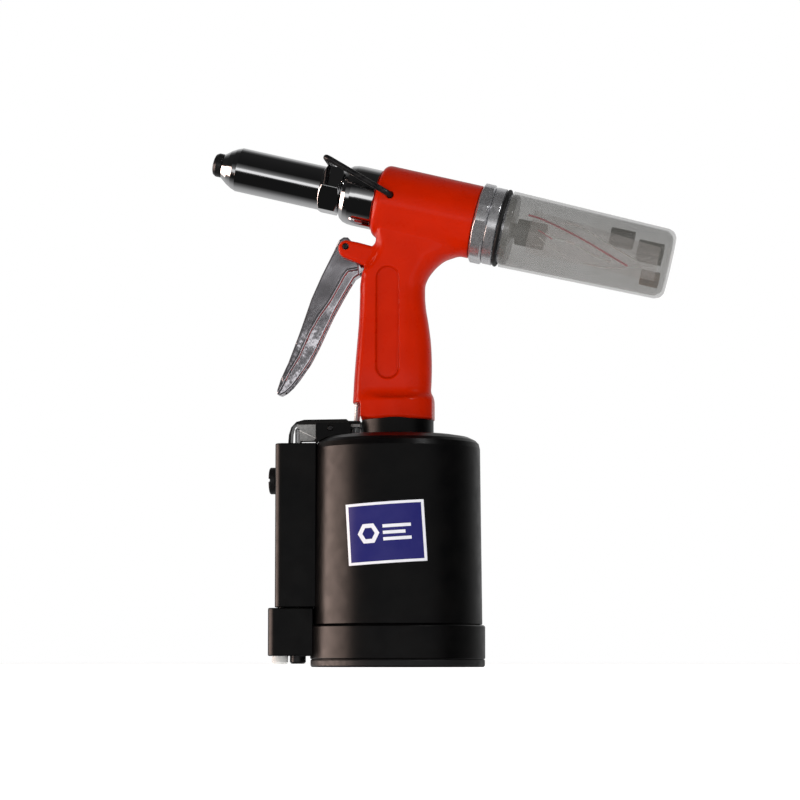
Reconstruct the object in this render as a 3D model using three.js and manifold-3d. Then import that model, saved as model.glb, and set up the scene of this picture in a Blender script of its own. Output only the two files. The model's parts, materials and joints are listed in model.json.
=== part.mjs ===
// Pneumatic rivet gun: a hydro-pneumatic blind riveter of the 1/4 inch class, standing on its
// air cylinder. Units are millimetres. +Z runs up the cylinder's axis, the nose points to -X and
// the collector bottle to +X. The origin is the centre of the underside of the foot.

import * as THREE from 'three';
import { mergeVertices } from 'three/addons/utils/BufferGeometryUtils.js';
import Module from 'manifold-3d';

const wasm = await Module();
wasm.setup();

// ---------------------------------------------------------------- driving dimensions

const GAP = 0.3;                  // clearance between pieces that touch
const ROUND = 24;                 // facets round a large turned piece
const SMALL_ROUND = 12;           // facets round a small turned piece
const TINY_ROUND = 8;             // facets round a hole or a screw

// head axis: stations are distances along it, from the point above the cylinder's axis
const HEAD_Z = 266.9;             // height where the head's axis crosses the cylinder's axis
const HEAD_TILT = 13.5;           // degrees, nose up
const HEAD_R = 21.3;
const HEAD_BORE_R = 15.3;
const HEAD_FRONT = -12.0;
const HEAD_REAR = 46.8;
const NOSE_TIP = -111.0;
const NOSE_R = 6.9;
const MANDREL_R = 2.2;
const HOUSING_FRONT = -105.0;
const HOUSING_REAR = -33.3;
const HOUSING_R = 12.8;
const HEX_FRONT = -45.3;
const HEX_FLATS = 26.0;
const CAP_R = 17.5;
const ROD_R = 7.0;                // draw rod
const PISTON_R = 15.0;            // pulling piston
const NUT_R = 23.3;
const NUT_REAR = 54.8;
const MOUNT_R = 20.4;
const FLANGE_R = 22.4;            // the mount's bare ring in front of the O-ring
const MOUNT_REAR = 68.7;
const BOTTLE_MOUTH = 64.8;
const BOTTLE_MOUTH_R = 22.3;
const BOTTLE_END_R = 20.45;
const BOTTLE_END = 161.4;
const BOTTLE_WALL = 1.5;
const PIPE_R = 4.3;
const PIPE_REAR = 88.0;
const DEFLECTOR_R = 7.6;          // the pipe's wider end, where the broken mandrels leave it
const DEFLECTOR_S = 71.0;

// grip and trigger
const GRIP_BOTTOM = 142.6;
const COLLAR_R = 20.7;
const RAM_BORE_R = 7.3;
const PANEL = { x0: -11.0, x1: 2.0, z0: 165.0, z1: 229.0, face: 15.9 };   // sunk panel each side
const EAR_IN = 6.9;               // half gap between the trigger ears
const EAR_OUT = 10.2;
const PIVOT = { x: -29.4, z: 241.6 };
const PIN_R = 1.5;
const TRIGGER_HALF = 6.4;         // half width of the trigger channel
const SHEET = 1.5;                // trigger sheet thickness
const LINK_FOOT = { x: -24.0, z: 137.0 };
const LINK_HEAD = { x: -17.0, z: 232.0 };
const LINK_R = 1.75;

// air cylinder, valve block and base
const BORE_R = 44.0;
const BORE_TOP = 118.0;
const NECK_BORE_R = 7.7;
const SHELL_FOOT_R = 48.4;
const SHELL_TOP_R = 47.35;
const SHELL_FOOT_Z = 24.1;
const SHELL_TOP_Z = 132.0;
const SHOULDER = [                // the rounding from the wall to the crown, as [radius, height]
  [SHELL_TOP_R, 124.5], [46.6, 127.4], [44.8, 129.2], [41.0, 131.0], [35.0, SHELL_TOP_Z],
];
const BLOCK_X = -69.4;
const BLOCK_HALF = 16.0;
const BLOCK_BOTTOM = 33.9;
const BLOCK_TOP = 127.6;
const BASE_R = 50.0;
const BASE_TOP = 23.8;
const BASE_BOTTOM = 4.6;
const BASE_BLOCK_X = -73.2;
const BASE_BLOCK_HALF = 17.5;
const BASE_BLOCK_TOP = 33.6;
const BASE_BLOCK_BOTTOM = 6.3;
const FOOT_R = 49.8;
const FOOT_H = 4.3;
const VALVE_X = -57.5;
const INLET_Z = 106.9;
const MUFFLER_X = -67.8;
const LEVER_PIVOT = { x: -38.0, z: 136.5 };
const LEVER_HALF = 5.0;
const LEVER_WEB = 137.6;          // underside of the lever's web
const BRACKET_FRONT = -46.4;
const BRACKET_SCREWS = [{ x: -41.6, floor: 132.2 }, { x: -31.4, floor: 133.4 }];
const BRACKET_SCREW_R = 1.3;
const COVER_SCREW_X = -65.2;
const COVER_SCREW_Y = 12.0;
const OIL_SCREW_S = 24.0;         // station of the oil screw on the far side of the head

// ---------------------------------------------------------------- materials

const finish = (color, roughness, metalness) =>
  new THREE.MeshStandardMaterial({ color, roughness, metalness });

const PAINT = finish(0xc82408, 0.28, 0.0);
const CHROME = finish(0xd8dadc, 0.08, 1.0);
const STEEL = finish(0x8f9296, 0.35, 1.0);
const DARK_STEEL = finish(0x1d1e20, 0.4, 0.8);
const ALUMINIUM = finish(0xb9bcbf, 0.35, 1.0);
const ANODISED = finish(0x0d0d0e, 0.38, 0.4);
const ZINC = finish(0x9a9c9c, 0.5, 0.9);
const RUBBER = finish(0x121212, 0.8, 0.0);
const FROSTED = finish(0xd9dcd6, 0.35, 0.0);
const FILM = finish(0xe6e8ea, 0.3, 0.0);
const BRASS = finish(0x8a5a34, 0.35, 0.9);
const WHITE_PLASTIC = finish(0xe9e9e4, 0.6, 0.0);
const BLUE_VINYL = finish(0x23236e, 0.35, 0.0);

// ---------------------------------------------------------------- solids

// A three.js geometry as a closed solid, turned right side out and without sliver triangles.
function toSolid(geometry) {
  const bare = (geometry.index ? geometry.toNonIndexed() : geometry.clone());
  bare.deleteAttribute('normal');
  bare.deleteAttribute('uv');
  const merged = mergeVertices(bare, 1e-4);
  const position = merged.attributes.position;
  const index = merged.index.array;
  const corner = (i) => new THREE.Vector3().fromBufferAttribute(position, i);
  const triangles = [];
  let volume = 0;
  for (let i = 0; i < index.length; i += 3) {
    const [a, b, c] = [index[i], index[i + 1], index[i + 2]];
    if (a === b || b === c || c === a) continue;
    triangles.push(a, b, c);
    volume += corner(a).dot(corner(b).cross(corner(c)));
  }
  if (volume < 0) {
    for (let i = 0; i < triangles.length; i += 3) {
      [triangles[i + 1], triangles[i + 2]] = [triangles[i + 2], triangles[i + 1]];
    }
  }
  return new wasm.Manifold(new wasm.Mesh({
    numProp: 3,
    vertProperties: Float32Array.from(position.array),
    triVerts: Uint32Array.from(triangles),
  }));
}

function toGeometry(solid) {
  const mesh = solid.getMesh();
  const geometry = new THREE.BufferGeometry();
  geometry.setAttribute('position', new THREE.Float32BufferAttribute(mesh.vertProperties, 3));
  geometry.setIndex(Array.from(mesh.triVerts));
  return geometry;
}

const join = (...geometries) =>
  toGeometry(geometries.map(toSolid).reduce((whole, piece) => whole.add(piece)));

const cut = (geometry, ...tools) =>
  toGeometry(tools.map(toSolid).reduce((whole, tool) => whole.subtract(tool), toSolid(geometry)));

const common = (a, b) => toGeometry(toSolid(a).intersect(toSolid(b)));

// Turned about Z from [radius, height] points. The profile starts and ends on the axis, or, when
// it doesn't touch the axis, closes on itself.
function turned(profile, segments = ROUND) {
  const points = profile.map(([r, z]) => new THREE.Vector2(r, z));
  const onAxis = profile[0][0] === 0 && profile[profile.length - 1][0] === 0;
  if (!onAxis) points.push(points[0].clone());
  return new THREE.LatheGeometry(points, segments).rotateX(Math.PI / 2);
}

// Turned about X from [station, radius] points, for the pieces on the head's axis.
const turnedX = (profile, segments = ROUND) =>
  turned(profile.map(([s, r]) => [r, s]), segments).rotateY(Math.PI / 2);

const rod = (radius, z0, z1, segments = SMALL_ROUND) =>
  turned([[0, z0], [radius, z0], [radius, z1], [0, z1]], segments);

const rodX = (radius, s0, s1, segments = SMALL_ROUND) =>
  turnedX([[s0, 0], [s0, radius], [s1, radius], [s1, 0]], segments);

const rodY = (radius, y0, y1, segments = SMALL_ROUND) =>
  new THREE.CylinderGeometry(radius, radius, y1 - y0, segments).translate(0, (y0 + y1) / 2, 0);

const tube = (inner, outer, z0, z1, segments = SMALL_ROUND) =>
  turned([[inner, z0], [outer, z0], [outer, z1], [inner, z1]], segments);

const tubeX = (inner, outer, s0, s1, segments = SMALL_ROUND) =>
  turnedX([[s0, inner], [s0, outer], [s1, outer], [s1, inner]], segments);

const box = (x0, x1, y0, y1, z0, z1) =>
  new THREE.BoxGeometry(x1 - x0, y1 - y0, z1 - z0)
    .translate((x0 + x1) / 2, (y0 + y1) / 2, (z0 + z1) / 2);

// An outline in the XZ plane, given as [x, z] points, made into a plate between y0 and y1.
function plate(outline, y0, y1) {
  const points = outline.map(([x, z]) => new THREE.Vector2(x, z));
  return new THREE.ExtrudeGeometry(new THREE.Shape(points), { depth: y1 - y0, bevelEnabled: false })
    .rotateX(Math.PI / 2)
    .translate(0, y1, 0);
}

// A rounded rectangle in plan, between z0 and z1.
function roundedBlock(x0, x1, half, radius, z0, z1) {
  const shape = new THREE.Shape();
  shape.moveTo(x0 + radius, -half);
  shape.lineTo(x1, -half);
  shape.lineTo(x1, half);
  shape.lineTo(x0 + radius, half);
  shape.absarc(x0 + radius, half - radius, radius, Math.PI / 2, Math.PI, false);
  shape.absarc(x0 + radius, -half + radius, radius, Math.PI, 1.5 * Math.PI, false);
  return new THREE.ExtrudeGeometry(shape, { depth: z1 - z0, bevelEnabled: false, curveSegments: 5 })
    .translate(0, 0, z0);
}

const hexagon = (flats, z0, z1) =>
  new THREE.CylinderGeometry(flats / Math.sqrt(3), flats / Math.sqrt(3), z1 - z0, 6)
    .rotateX(Math.PI / 2)
    .translate(0, 0, (z0 + z1) / 2);

const crossPin = (radius, half, x, z) =>
  new THREE.CylinderGeometry(radius, radius, 2 * half, SMALL_ROUND).translate(x, 0, z);

// A ring of round section about Z, such as an O-ring.
const ring = (radius, section, z, segments = ROUND) =>
  new THREE.TorusGeometry(radius, section, 6, segments).translate(0, 0, z);

const ringX = (radius, section, station) => ring(radius, section, 0).rotateY(Math.PI / 2)
  .translate(station, 0, 0);

class Helix extends THREE.Curve {
  constructor(radius, z0, z1, turns) {
    super();
    Object.assign(this, { radius, z0, z1, turns });
  }

  getPoint(t, target = new THREE.Vector3()) {
    const angle = t * this.turns * 2 * Math.PI;
    return target.set(
      this.radius * Math.cos(angle),
      this.radius * Math.sin(angle),
      this.z0 + t * (this.z1 - this.z0),
    );
  }
}

// A wire of round section along a curve.
function wire(curve, radius, steps, sides = 8) {
  const section = new THREE.Shape();
  for (let i = 0; i < sides; i += 1) {
    const angle = (2 * Math.PI * i) / sides;
    const [x, y] = [radius * Math.cos(angle), radius * Math.sin(angle)];
    if (i === 0) section.moveTo(x, y);
    else section.lineTo(x, y);
  }
  return new THREE.ExtrudeGeometry(section, { steps, bevelEnabled: false, extrudePath: curve });
}

// A compression spring along Z whose wire fills the height from z0 to z1.
const spring = (radius, wireRadius, z0, z1, turns) =>
  wire(new Helix(radius, z0 + wireRadius, z1 - wireRadius, turns), wireRadius, 9 * turns, 5);

// ---------------------------------------------------------------- scene graph

const gun = new THREE.Group();
const head = new THREE.Group();
head.position.z = HEAD_Z;
head.rotation.y = THREE.MathUtils.degToRad(HEAD_TILT);
gun.add(head);

function add(group, name, geometry, material) {
  const mesh = new THREE.Mesh(toGeometry(toSolid(geometry)), material);
  mesh.name = name;
  group.add(mesh);
  return mesh;
}

// ---------------------------------------------------------------- nose

function nosepiece() {
  return turnedX([
    [-95.0, MANDREL_R], [-95.0, 4.9], [HOUSING_FRONT - GAP, 4.9], [HOUSING_FRONT - GAP, NOSE_R],
    [-108.6, NOSE_R], [-110.2, 5.9], [NOSE_TIP, 4.0], [NOSE_TIP, MANDREL_R],
  ], SMALL_ROUND);
}

function noseHousing() {
  const shell = turnedX([
    [HOUSING_FRONT, 5.2], [HOUSING_FRONT, 7.2], [-101.5, 9.9], [-98.3, 11.7], [-95.4, HOUSING_R],
    [HOUSING_REAR, HOUSING_R], [HOUSING_REAR, 10.6], [-47.0, 10.6], [-47.0, 9.9], [-93.2, 9.9],
    [-96.0, 5.2],
  ]);
  const corner = HEX_FLATS / Math.sqrt(3);
  const hex = hexagon(HEX_FLATS, HEX_FRONT, HOUSING_REAR).rotateY(Math.PI / 2);
  const chamfers = turnedX([
    [HEX_FRONT, 0], [HEX_FRONT, HOUSING_R - 0.2], [HEX_FRONT + 1.5, corner + 0.1],
    [HOUSING_REAR - 1.5, corner + 0.1], [HOUSING_REAR, HOUSING_R - 0.2], [HOUSING_REAR, 0],
  ]);
  return join(shell, cut(common(hex, chamfers), rodX(11.5, HEX_FRONT - 1, HOUSING_REAR + 1)));
}

const CASE_FRONT = -92.5;
const CASE_REAR = -65.0;
const CONE_END = -78.0;
const CONE_SLOPE = 3.1 / 14.5;    // rise of the jaw cone per millimetre of its length
const coneRadius = (s) => 4.8 + (s - CASE_FRONT) * CONE_SLOPE;

function jawCase() {
  const bore = coneRadius(CONE_END);
  return turnedX([
    [CASE_FRONT, coneRadius(CASE_FRONT)], [CASE_FRONT, 8.6], [-91.0, 9.4], [CASE_REAR, 9.4],
    [CASE_REAR, bore], [CONE_END, bore],
  ], SMALL_ROUND);
}

// One of three jaws: a third of a cone with a gap to its neighbours.
function jaw(turn) {
  const [front, rear, gap] = [-91.4, -80.0, 0.35];
  const cone = turnedX([
    [front, 1.6], [front, coneRadius(front) - gap], [rear, coneRadius(rear) - gap], [rear, 1.6],
  ], SMALL_ROUND);
  const reach = 20;
  const spread = THREE.MathUtils.degToRad(50);
  const wedge = new THREE.Shape();
  wedge.moveTo(0, 0);
  wedge.lineTo(reach * Math.cos(spread), -reach * Math.sin(spread));
  wedge.lineTo(reach * Math.cos(spread), reach * Math.sin(spread));
  const sector = new THREE.ExtrudeGeometry(wedge, { depth: 20, bevelEnabled: false })
    .rotateY(Math.PI / 2)
    .translate(front - 2, 0, 0)
    .rotateX(turn);
  return common(cone, sector);
}

const jawPusher = () => turnedX([
  [-79.6, 2.4], [-79.6, 4.2], [-78.2, 7.2], [-76.5, 7.2], [-76.5, 2.4],
], SMALL_ROUND);

const jawSpring = () => spring(5.4, 0.6, -76.2, -69.4, 4).rotateY(Math.PI / 2);

// ---------------------------------------------------------------- head

function frameCap() {
  return turnedX([
    [-46.0, 7.4], [-46.0, 10.2], [-33.0, 10.2], [-33.0, 12.6], [-31.6, 15.0], [-29.4, 16.6],
    [-26.6, 17.3], [-23.5, CAP_R], [HEAD_FRONT - GAP, CAP_R], [HEAD_FRONT - GAP, HEAD_BORE_R - GAP],
    [-2.0, HEAD_BORE_R - GAP], [-2.0, 7.4], [-4.8, 7.4], [-4.8, 9.2], [-7.6, 9.2], [-7.6, 7.4],
  ]);
}

const rodSeal = () => ringX(8.15, 0.75, -6.2);

function pullPiston() {
  return turnedX([
    [-69.1, 2.6], [-69.1, 7.5], [CASE_REAR + GAP, 7.5], [CASE_REAR + GAP, ROD_R], [0, ROD_R],
    [0, PISTON_R], [4.0, PISTON_R], [4.0, 12.6], [7.2, 12.6], [7.2, PISTON_R], [12.0, PISTON_R],
    [12.0, PIPE_R + GAP], [4.2, PIPE_R + GAP], [4.2, 2.6],
  ]);
}

const pistonSeal = () => tubeX(12.9, 15.0, 4.3, 6.9, ROUND);

const guidePipe = () => turnedX([
  [4.6, 3.1], [4.6, PIPE_R], [DEFLECTOR_S, PIPE_R], [DEFLECTOR_S, DEFLECTOR_R],
  [PIPE_REAR, DEFLECTOR_R], [PIPE_REAR, 3.1],
]);

const GRIP_FRONT = [
  [-14.0, 229.5], [-19.8, 228.5], [-21.2, 225.0], [-21.7, 212.0], [-22.3, 197.6], [-23.8, 179.0],
  [-24.9, 165.0], [-25.5, 151.3],
];
const GRIP_REAR = [
  [19.9, GRIP_BOTTOM], [20.0, 150.7], [19.2, 155.4], [19.7, 172.7], [19.0, 187.8], [17.8, 197.0],
  [16.3, 206.4], [15.8, 214.0], [16.5, 221.0], [20.4, 228.0], [29.5, 234.8], [36.0, 236.6],
];

// A bore along the head's axis as a tool in the gun's own frame.
const alongHead = (geometry) => geometry
  .rotateY(THREE.MathUtils.degToRad(HEAD_TILT))
  .translate(0, 0, HEAD_Z);

// The trigger link leans back by this angle from its foot to its head.
const LINK_LEAN = Math.atan2(LINK_HEAD.x - LINK_FOOT.x, LINK_HEAD.z - LINK_FOOT.z);
const alongLink = (geometry) => geometry
  .rotateY(LINK_LEAN)
  .translate(LINK_FOOT.x, 0, LINK_FOOT.z);

function handleCasting() {
  const barrel = alongHead(turnedX([
    [HEAD_FRONT, 0], [HEAD_FRONT, CAP_R + 0.2], [HEAD_FRONT + 3.9, HEAD_R], [HEAD_REAR, HEAD_R], [HEAD_REAR, 0],
  ]));
  const side = plate([...GRIP_FRONT, [-20.2, 151.3], [-20.2, GRIP_BOTTOM], ...GRIP_REAR,
    [36.0, 255.0], [-9.0, 255.0]], -22, 22);
  const plan = new THREE.CylinderGeometry(1, 1, 110, ROUND)
    .rotateX(Math.PI / 2)
    .scale(24.5, 17.2, 1)
    .translate(-2.5, 0, 192);
  const grip = common(side, plan);
  const collar = rod(COLLAR_R, GRIP_BOTTOM, 151.0, ROUND);
  const web = plate([[-12.8, 249.0], [-11.6, 243.0], [-14.0, 229.5], [-10.0, 222.0], [16.5, 221.0],
    [20.4, 228.0], [29.5, 234.8], [36.0, 236.6], [36.0, 256.0], [-10.0, 256.0]], -15, 15);
  const ear = plate([[-33.9, 240.4], [-32.9, 243.8], [-29.9, 245.6], [-22.0, 244.0],
    [-14.0, 241.7], [-11.9, 243.0], [-9.0, 250.0], [-9.0, 224.0], [-16.9, 227.7],
    [-18.6, 230.3], [-30.6, 235.5], [-33.2, 237.4]], -EAR_OUT, EAR_OUT);
  const whole = join(barrel, grip, collar, web, ear);
  return cut(
    whole,
    alongHead(rodX(HEAD_BORE_R, HEAD_FRONT - 1, HEAD_REAR + 1, ROUND)),
    rod(RAM_BORE_R, GRIP_BOTTOM - 1, 226),
    rod(3.5, 225, 260, TINY_ROUND),
    tube(0.5, 11.0, GRIP_BOTTOM - 1, 150.2),
    box(-40, -10.0, -EAR_IN, EAR_IN, 221.0, 247.5),
    alongLink(rod(2.4, -2, 100, TINY_ROUND)),
    crossPin(PIN_R + GAP, 30, PIVOT.x, PIVOT.z),
    alongHead(crossPin(2.1, 30, -3.0, 1.8)),
    box(PANEL.x0, PANEL.x1, -PANEL.face - 2, -PANEL.face, PANEL.z0, PANEL.z1),
    box(PANEL.x0, PANEL.x1, PANEL.face, PANEL.face + 2, PANEL.z0, PANEL.z1),
    alongHead(rodY(3.3, 14, 26, TINY_ROUND).translate(OIL_SCREW_S, 0, 0)),
  );
}

const ramSeal = () => tube(RAM_BORE_R, 10.7, GRIP_BOTTOM + 0.6, 149.8);

const oilScrew = () => toGeometry(
  toSolid(rodY(2.9, 16.0, 23.1, TINY_ROUND)).add(toSolid(rodY(4.4, 22.7, 24.7, 6))),
).translate(OIL_SCREW_S, 0, 0);

const oilWasher = () => cut(rodY(5.0, 21.6, 22.4), rodY(3.2, 21.0, 23.0))
  .translate(OIL_SCREW_S, 0, 0);

// The tail nut is round with six spanner flats.
function tailNut() {
  const body = turnedX([
    [38.0, PIPE_R + 0.4], [38.0, HEAD_BORE_R - GAP], [HEAD_REAR + GAP, HEAD_BORE_R - GAP],
    [HEAD_REAR + GAP, NUT_R - 2.2], [HEAD_REAR + 1.4, NUT_R], [NUT_REAR - 1.1, NUT_R],
    [NUT_REAR, NUT_R - 1.6], [NUT_REAR, 14.0], [60.0, 14.0], [60.0, PIPE_R + 0.4],
  ]);
  const flats = hexagon(2 * NUT_R * Math.cos(Math.PI / 10), 30, 70).rotateY(Math.PI / 2)
    .rotateX(THREE.MathUtils.degToRad(-11));
  return common(body, flats);
}

function collectorMount() {
  return turnedX([
    [NUT_REAR + GAP, 14.3], [NUT_REAR + GAP, FLANGE_R], [60.8, FLANGE_R], [60.8, 20.0], [64.2, 20.0],
    [64.2, MOUNT_R], [67.8, MOUNT_R], [MOUNT_REAR, MOUNT_R - 0.9], [MOUNT_REAR, 5.0], [60.3, 5.0],
    [60.3, 14.3],
  ]);
}

const collectorSeal = () => ringX(21.4, 1.3, 62.5);

function collectorBottle() {
  const inner = (r) => r - BOTTLE_WALL;
  return turnedX([
    [BOTTLE_END, 0], [BOTTLE_END, BOTTLE_END_R - 3.8], [159.6, BOTTLE_END_R - 1.2],
    [156.5, BOTTLE_END_R], [BOTTLE_MOUTH, BOTTLE_MOUTH_R],
    [BOTTLE_MOUTH, inner(BOTTLE_MOUTH_R)],
    [156.0, inner(BOTTLE_END_R)], [BOTTLE_END - BOTTLE_WALL, inner(BOTTLE_END_R) - 3.0],
    [BOTTLE_END - BOTTLE_WALL, 0],
  ]);
}

// The folded accessory bag lies against the wall of the bottle as a curved pad.
function accessoryBag() {
  const pad = tubeX(12.2, 17.2, 78.0, 155.5, ROUND);
  return common(pad, box(70, 160, -20, -5.5, -13.0, 13.5));
}

const sparePiece = (s0, s1, radius, y, z) => tubeX(2.4, radius, s0, s1)
  .translate(0, y, z);

// The hanging bail is one bent wire: two pivot ends, two legs and a crossbar over the nose.
const BAIL_PIVOT = { s: -3.0, h: 1.8 };
const BAIL_TIP = { s: -44.2, h: 14.9 };
const BAIL_HALF = 23.4;
const BAIL_WIRE = 1.7;

function hangerBail() {
  const corner = 3.0;
  const dx = BAIL_TIP.s - BAIL_PIVOT.s;
  const dz = BAIL_TIP.h - BAIL_PIVOT.h;
  const length = Math.hypot(dx, dz);
  const at = (t, y) => new THREE.Vector3(
    BAIL_PIVOT.s + (dx * t) / length,
    y,
    BAIL_PIVOT.h + (dz * t) / length,
  );
  const path = new THREE.CurvePath();
  const line = (a, b) => path.add(new THREE.LineCurve3(a, b));
  const bend = (a, b, c) => path.add(new THREE.QuadraticBezierCurve3(a, b, c));
  line(at(0, -18.2), at(0, -BAIL_HALF + corner));
  bend(at(0, -BAIL_HALF + corner), at(0, -BAIL_HALF), at(corner, -BAIL_HALF));
  line(at(corner, -BAIL_HALF), at(length - corner, -BAIL_HALF));
  bend(at(length - corner, -BAIL_HALF), at(length, -BAIL_HALF), at(length, -BAIL_HALF + corner));
  line(at(length, -BAIL_HALF + corner), at(length, BAIL_HALF - corner));
  bend(at(length, BAIL_HALF - corner), at(length, BAIL_HALF), at(length - corner, BAIL_HALF));
  line(at(length - corner, BAIL_HALF), at(corner, BAIL_HALF));
  bend(at(corner, BAIL_HALF), at(0, BAIL_HALF), at(0, BAIL_HALF - corner));
  line(at(0, BAIL_HALF - corner), at(0, 18.2));
  return wire(path, BAIL_WIRE, 44, 8);
}

// ---------------------------------------------------------------- trigger and linkage

const TRIGGER_FRONT = [
  [-31.0, 248.0], [-33.7, 246.2], [-36.8, 239.3], [-43.8, 225.3], [-49.7, 211.9], [-56.0, 193.3],
  [-63.0, 174.7], [-67.3, 165.4], [-69.6, 158.5], [-68.9, 155.6],
];
const TRIGGER_REAR = [
  [-61.1, 160.7], [-57.3, 165.3], [-50.8, 174.6], [-45.9, 183.8], [-41.6, 193.1], [-37.2, 202.4],
  [-32.1, 211.7], [-28.4, 218.1], [-24.5, 224.5], [-20.6, 226.6], [-13.6, 227.0], [-13.6, 229.3],
  [-20.6, 229.5], [-22.5, 233.0], [-24.4, 239.0], [-25.4, 244.0], [-27.6, 247.2],
];

function trigger() {
  const channel = plate([...TRIGGER_FRONT, ...TRIGGER_REAR], -TRIGGER_HALF, TRIGGER_HALF);
  const inset = TRIGGER_FRONT.slice(2, 9).map(([x, z]) => [x + SHEET + 0.4, z - 0.3]);
  const hollow = plate([...inset, [-55.0, 155.0], [-20.0, 200.0], [-24.5, 224.5], [-27.5, 229.0],
    [-33.0, 236.0]], -TRIGGER_HALF + SHEET, TRIGGER_HALF - SHEET);
  return cut(
    channel,
    hollow,
    box(-22.0, -10.0, -2.3, 2.3, 220, 232),
    box(-22.4, -10.0, 5.0, 8.0, 220, 232),
    box(-22.4, -10.0, -8.0, -5.0, 220, 232),
    crossPin(PIN_R + GAP, 30, PIVOT.x, PIVOT.z),
  );
}

const triggerPin = () => crossPin(PIN_R, EAR_OUT + 0.2, PIVOT.x, PIVOT.z);

function triggerLink() {
  const top = Math.hypot(LINK_HEAD.x - LINK_FOOT.x, LINK_HEAD.z - LINK_FOOT.z);
  return alongLink(turned([
    [0, -3.4], [LINK_R, -3.4], [LINK_R, top - 2.2], [3.1, top - 2.2], [3.1, top - 0.6],
    [2.2, top + 0.6], [0, top + 0.6],
  ], SMALL_ROUND));
}

const linkNut = () => alongLink(cut(hexagon(5.0, -3.1, -0.1), rod(LINK_R + GAP, -5, 5, TINY_ROUND)));

// The hole that the link passes through, with room for it to lean as the lever tilts.
const linkHole = () => alongLink(rod(LINK_R + 0.6, -5, 10, TINY_ROUND).translate(0.35, 0, 0));

function valveLever() {
  const outline = [[-56.2, 129.6], [-56.2, 136.2], [-58.2, LEVER_WEB], [-57.6, 139.0],
    [-21.2, 139.0], [-21.2, 137.5], [-33.4, 137.2], [-34.9, 134.3], [-46.6, 134.3],
    [-46.8, 131.0], [-48.2, 129.6]];
  return cut(
    plate(outline, -LEVER_HALF, LEVER_HALF),
    box(-60, -18, -3.4, 3.4, 120, LEVER_WEB),
    box(-23.5, -18, -2.35, 2.35, 130, 145),
    crossPin(PIN_R + GAP, 30, LEVER_PIVOT.x, LEVER_PIVOT.z),
    linkHole(),
  );
}

function leverCover() {
  const outline = [[-62.9, 127.9], [-62.5, 133.0], [-61.2, 137.4], [-58.2, 140.6], [-53.6, 141.8],
    [-29.2, 142.0], [-28.3, 141.0], [-21.2, 140.8], [-21.2, 139.3], [-58.6, 139.3], [-60.2, 137.8],
    [-61.1, 134.0], [-61.4, 127.9]];
  return cut(
    plate(outline, -LEVER_HALF - 0.2, LEVER_HALF + 0.2),
    box(-23.5, -18, -2.35, 2.35, 130, 145),
    linkHole(),
  );
}

const leverPin = () => crossPin(PIN_R, 10.0, LEVER_PIVOT.x, LEVER_PIVOT.z);

// The outside of the cylinder's top, grown by a gap, as a tool for what sits on it.
const shellTop = (grow) => turned([
  [0, 100], [SHELL_TOP_R + grow, 100], ...SHOULDER.map(([r, z]) => [r + grow, z + grow]),
  [0, SHELL_TOP_Z + grow],
]);

// The bracket's floor is lower in front of the pivot, where the lever comes down.
function leverBracket() {
  const [front, rear] = BRACKET_SCREWS;
  const room = LEVER_HALF + 1.1;
  return cut(
    join(
      box(BRACKET_FRONT, -26.4, -10.0, 10.0, BLOCK_TOP + GAP, 139.6),
      box(-27.0, -21.6, room, 10.0, BLOCK_TOP + GAP, 139.6),
    ),
    box(LEVER_PIVOT.x, -20, -room, room, rear.floor, 145),
    box(-50, LEVER_PIVOT.x + 1, -room, room, front.floor, 145),
    box(-50, BRACKET_FRONT + 1.8, -room, room, 120, 145),
    shellTop(GAP),
    crossPin(PIN_R + GAP, 30, LEVER_PIVOT.x, LEVER_PIVOT.z),
    ...BRACKET_SCREWS.map(({ x }) => rod(BRACKET_SCREW_R + GAP, 120, 140, TINY_ROUND).translate(x, 0, 0)),
  );
}

const bracketScrew = ({ x, floor }) => join(
  rod(BRACKET_SCREW_R, 121.5, floor + 0.6, TINY_ROUND),
  cut(rod(2.5, floor + GAP, floor + 2.0, TINY_ROUND), hexagon(2.0, floor + 1.0, floor + 3.0)),
).translate(x, 0, 0);

// ---------------------------------------------------------------- air cylinder

const neckCollar = () =>
  tube(NECK_BORE_R, COLLAR_R, SHELL_TOP_Z + GAP, GRIP_BOTTOM - GAP, ROUND);

function cylinderBody() {
  const shell = turned([
    [NECK_BORE_R, BORE_TOP], [BORE_R, BORE_TOP], [BORE_R, SHELL_FOOT_Z],
    [SHELL_FOOT_R, SHELL_FOOT_Z], ...SHOULDER, [NECK_BORE_R, SHELL_TOP_Z],
  ]);
  const block = cut(
    roundedBlock(BLOCK_X, -36, BLOCK_HALF, 5, BLOCK_BOTTOM, BLOCK_TOP),
    rod(BORE_R, 0, BORE_TOP, ROUND),
  );
  return cut(
    join(shell, block),
    rod(6.3, BLOCK_BOTTOM - 1, 112).translate(VALVE_X, 0, 0),
    rod(3.1, 111, 140, TINY_ROUND).translate(VALVE_X, 0, 0),
    box(-65.0, -47.5, -6.0, 6.0, 121.5, 130),
    rod(6.2, 0, 20).rotateY(-Math.PI / 2).translate(-56, 0, INLET_Z),
    rod(2.5, 0, 20, TINY_ROUND).rotateY(Math.PI / 2).translate(VALVE_X, 0, 44),
    ...[-1, 1].map((side) => rod(2.0, 30, 44, TINY_ROUND)
      .translate(COVER_SCREW_X, side * COVER_SCREW_Y, 0)),
    ...BRACKET_SCREWS.map(({ x }) => rod(BRACKET_SCREW_R + GAP, 119, 140, TINY_ROUND).translate(x, 0, 0)),
  );
}

const PISTON_FOOT = 30.0;
const PISTON_TOP = 40.0;
const RAM_R = 7.0;
const RAM_TOP = 152.0;

const ram = () => turned([
  [0, 25.0], [4.9, 25.0], [4.9, PISTON_TOP + GAP], [RAM_R, PISTON_TOP + GAP], [RAM_R, RAM_TOP - 1],
  [RAM_R - 1, RAM_TOP], [0, RAM_TOP],
], SMALL_ROUND);

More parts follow.
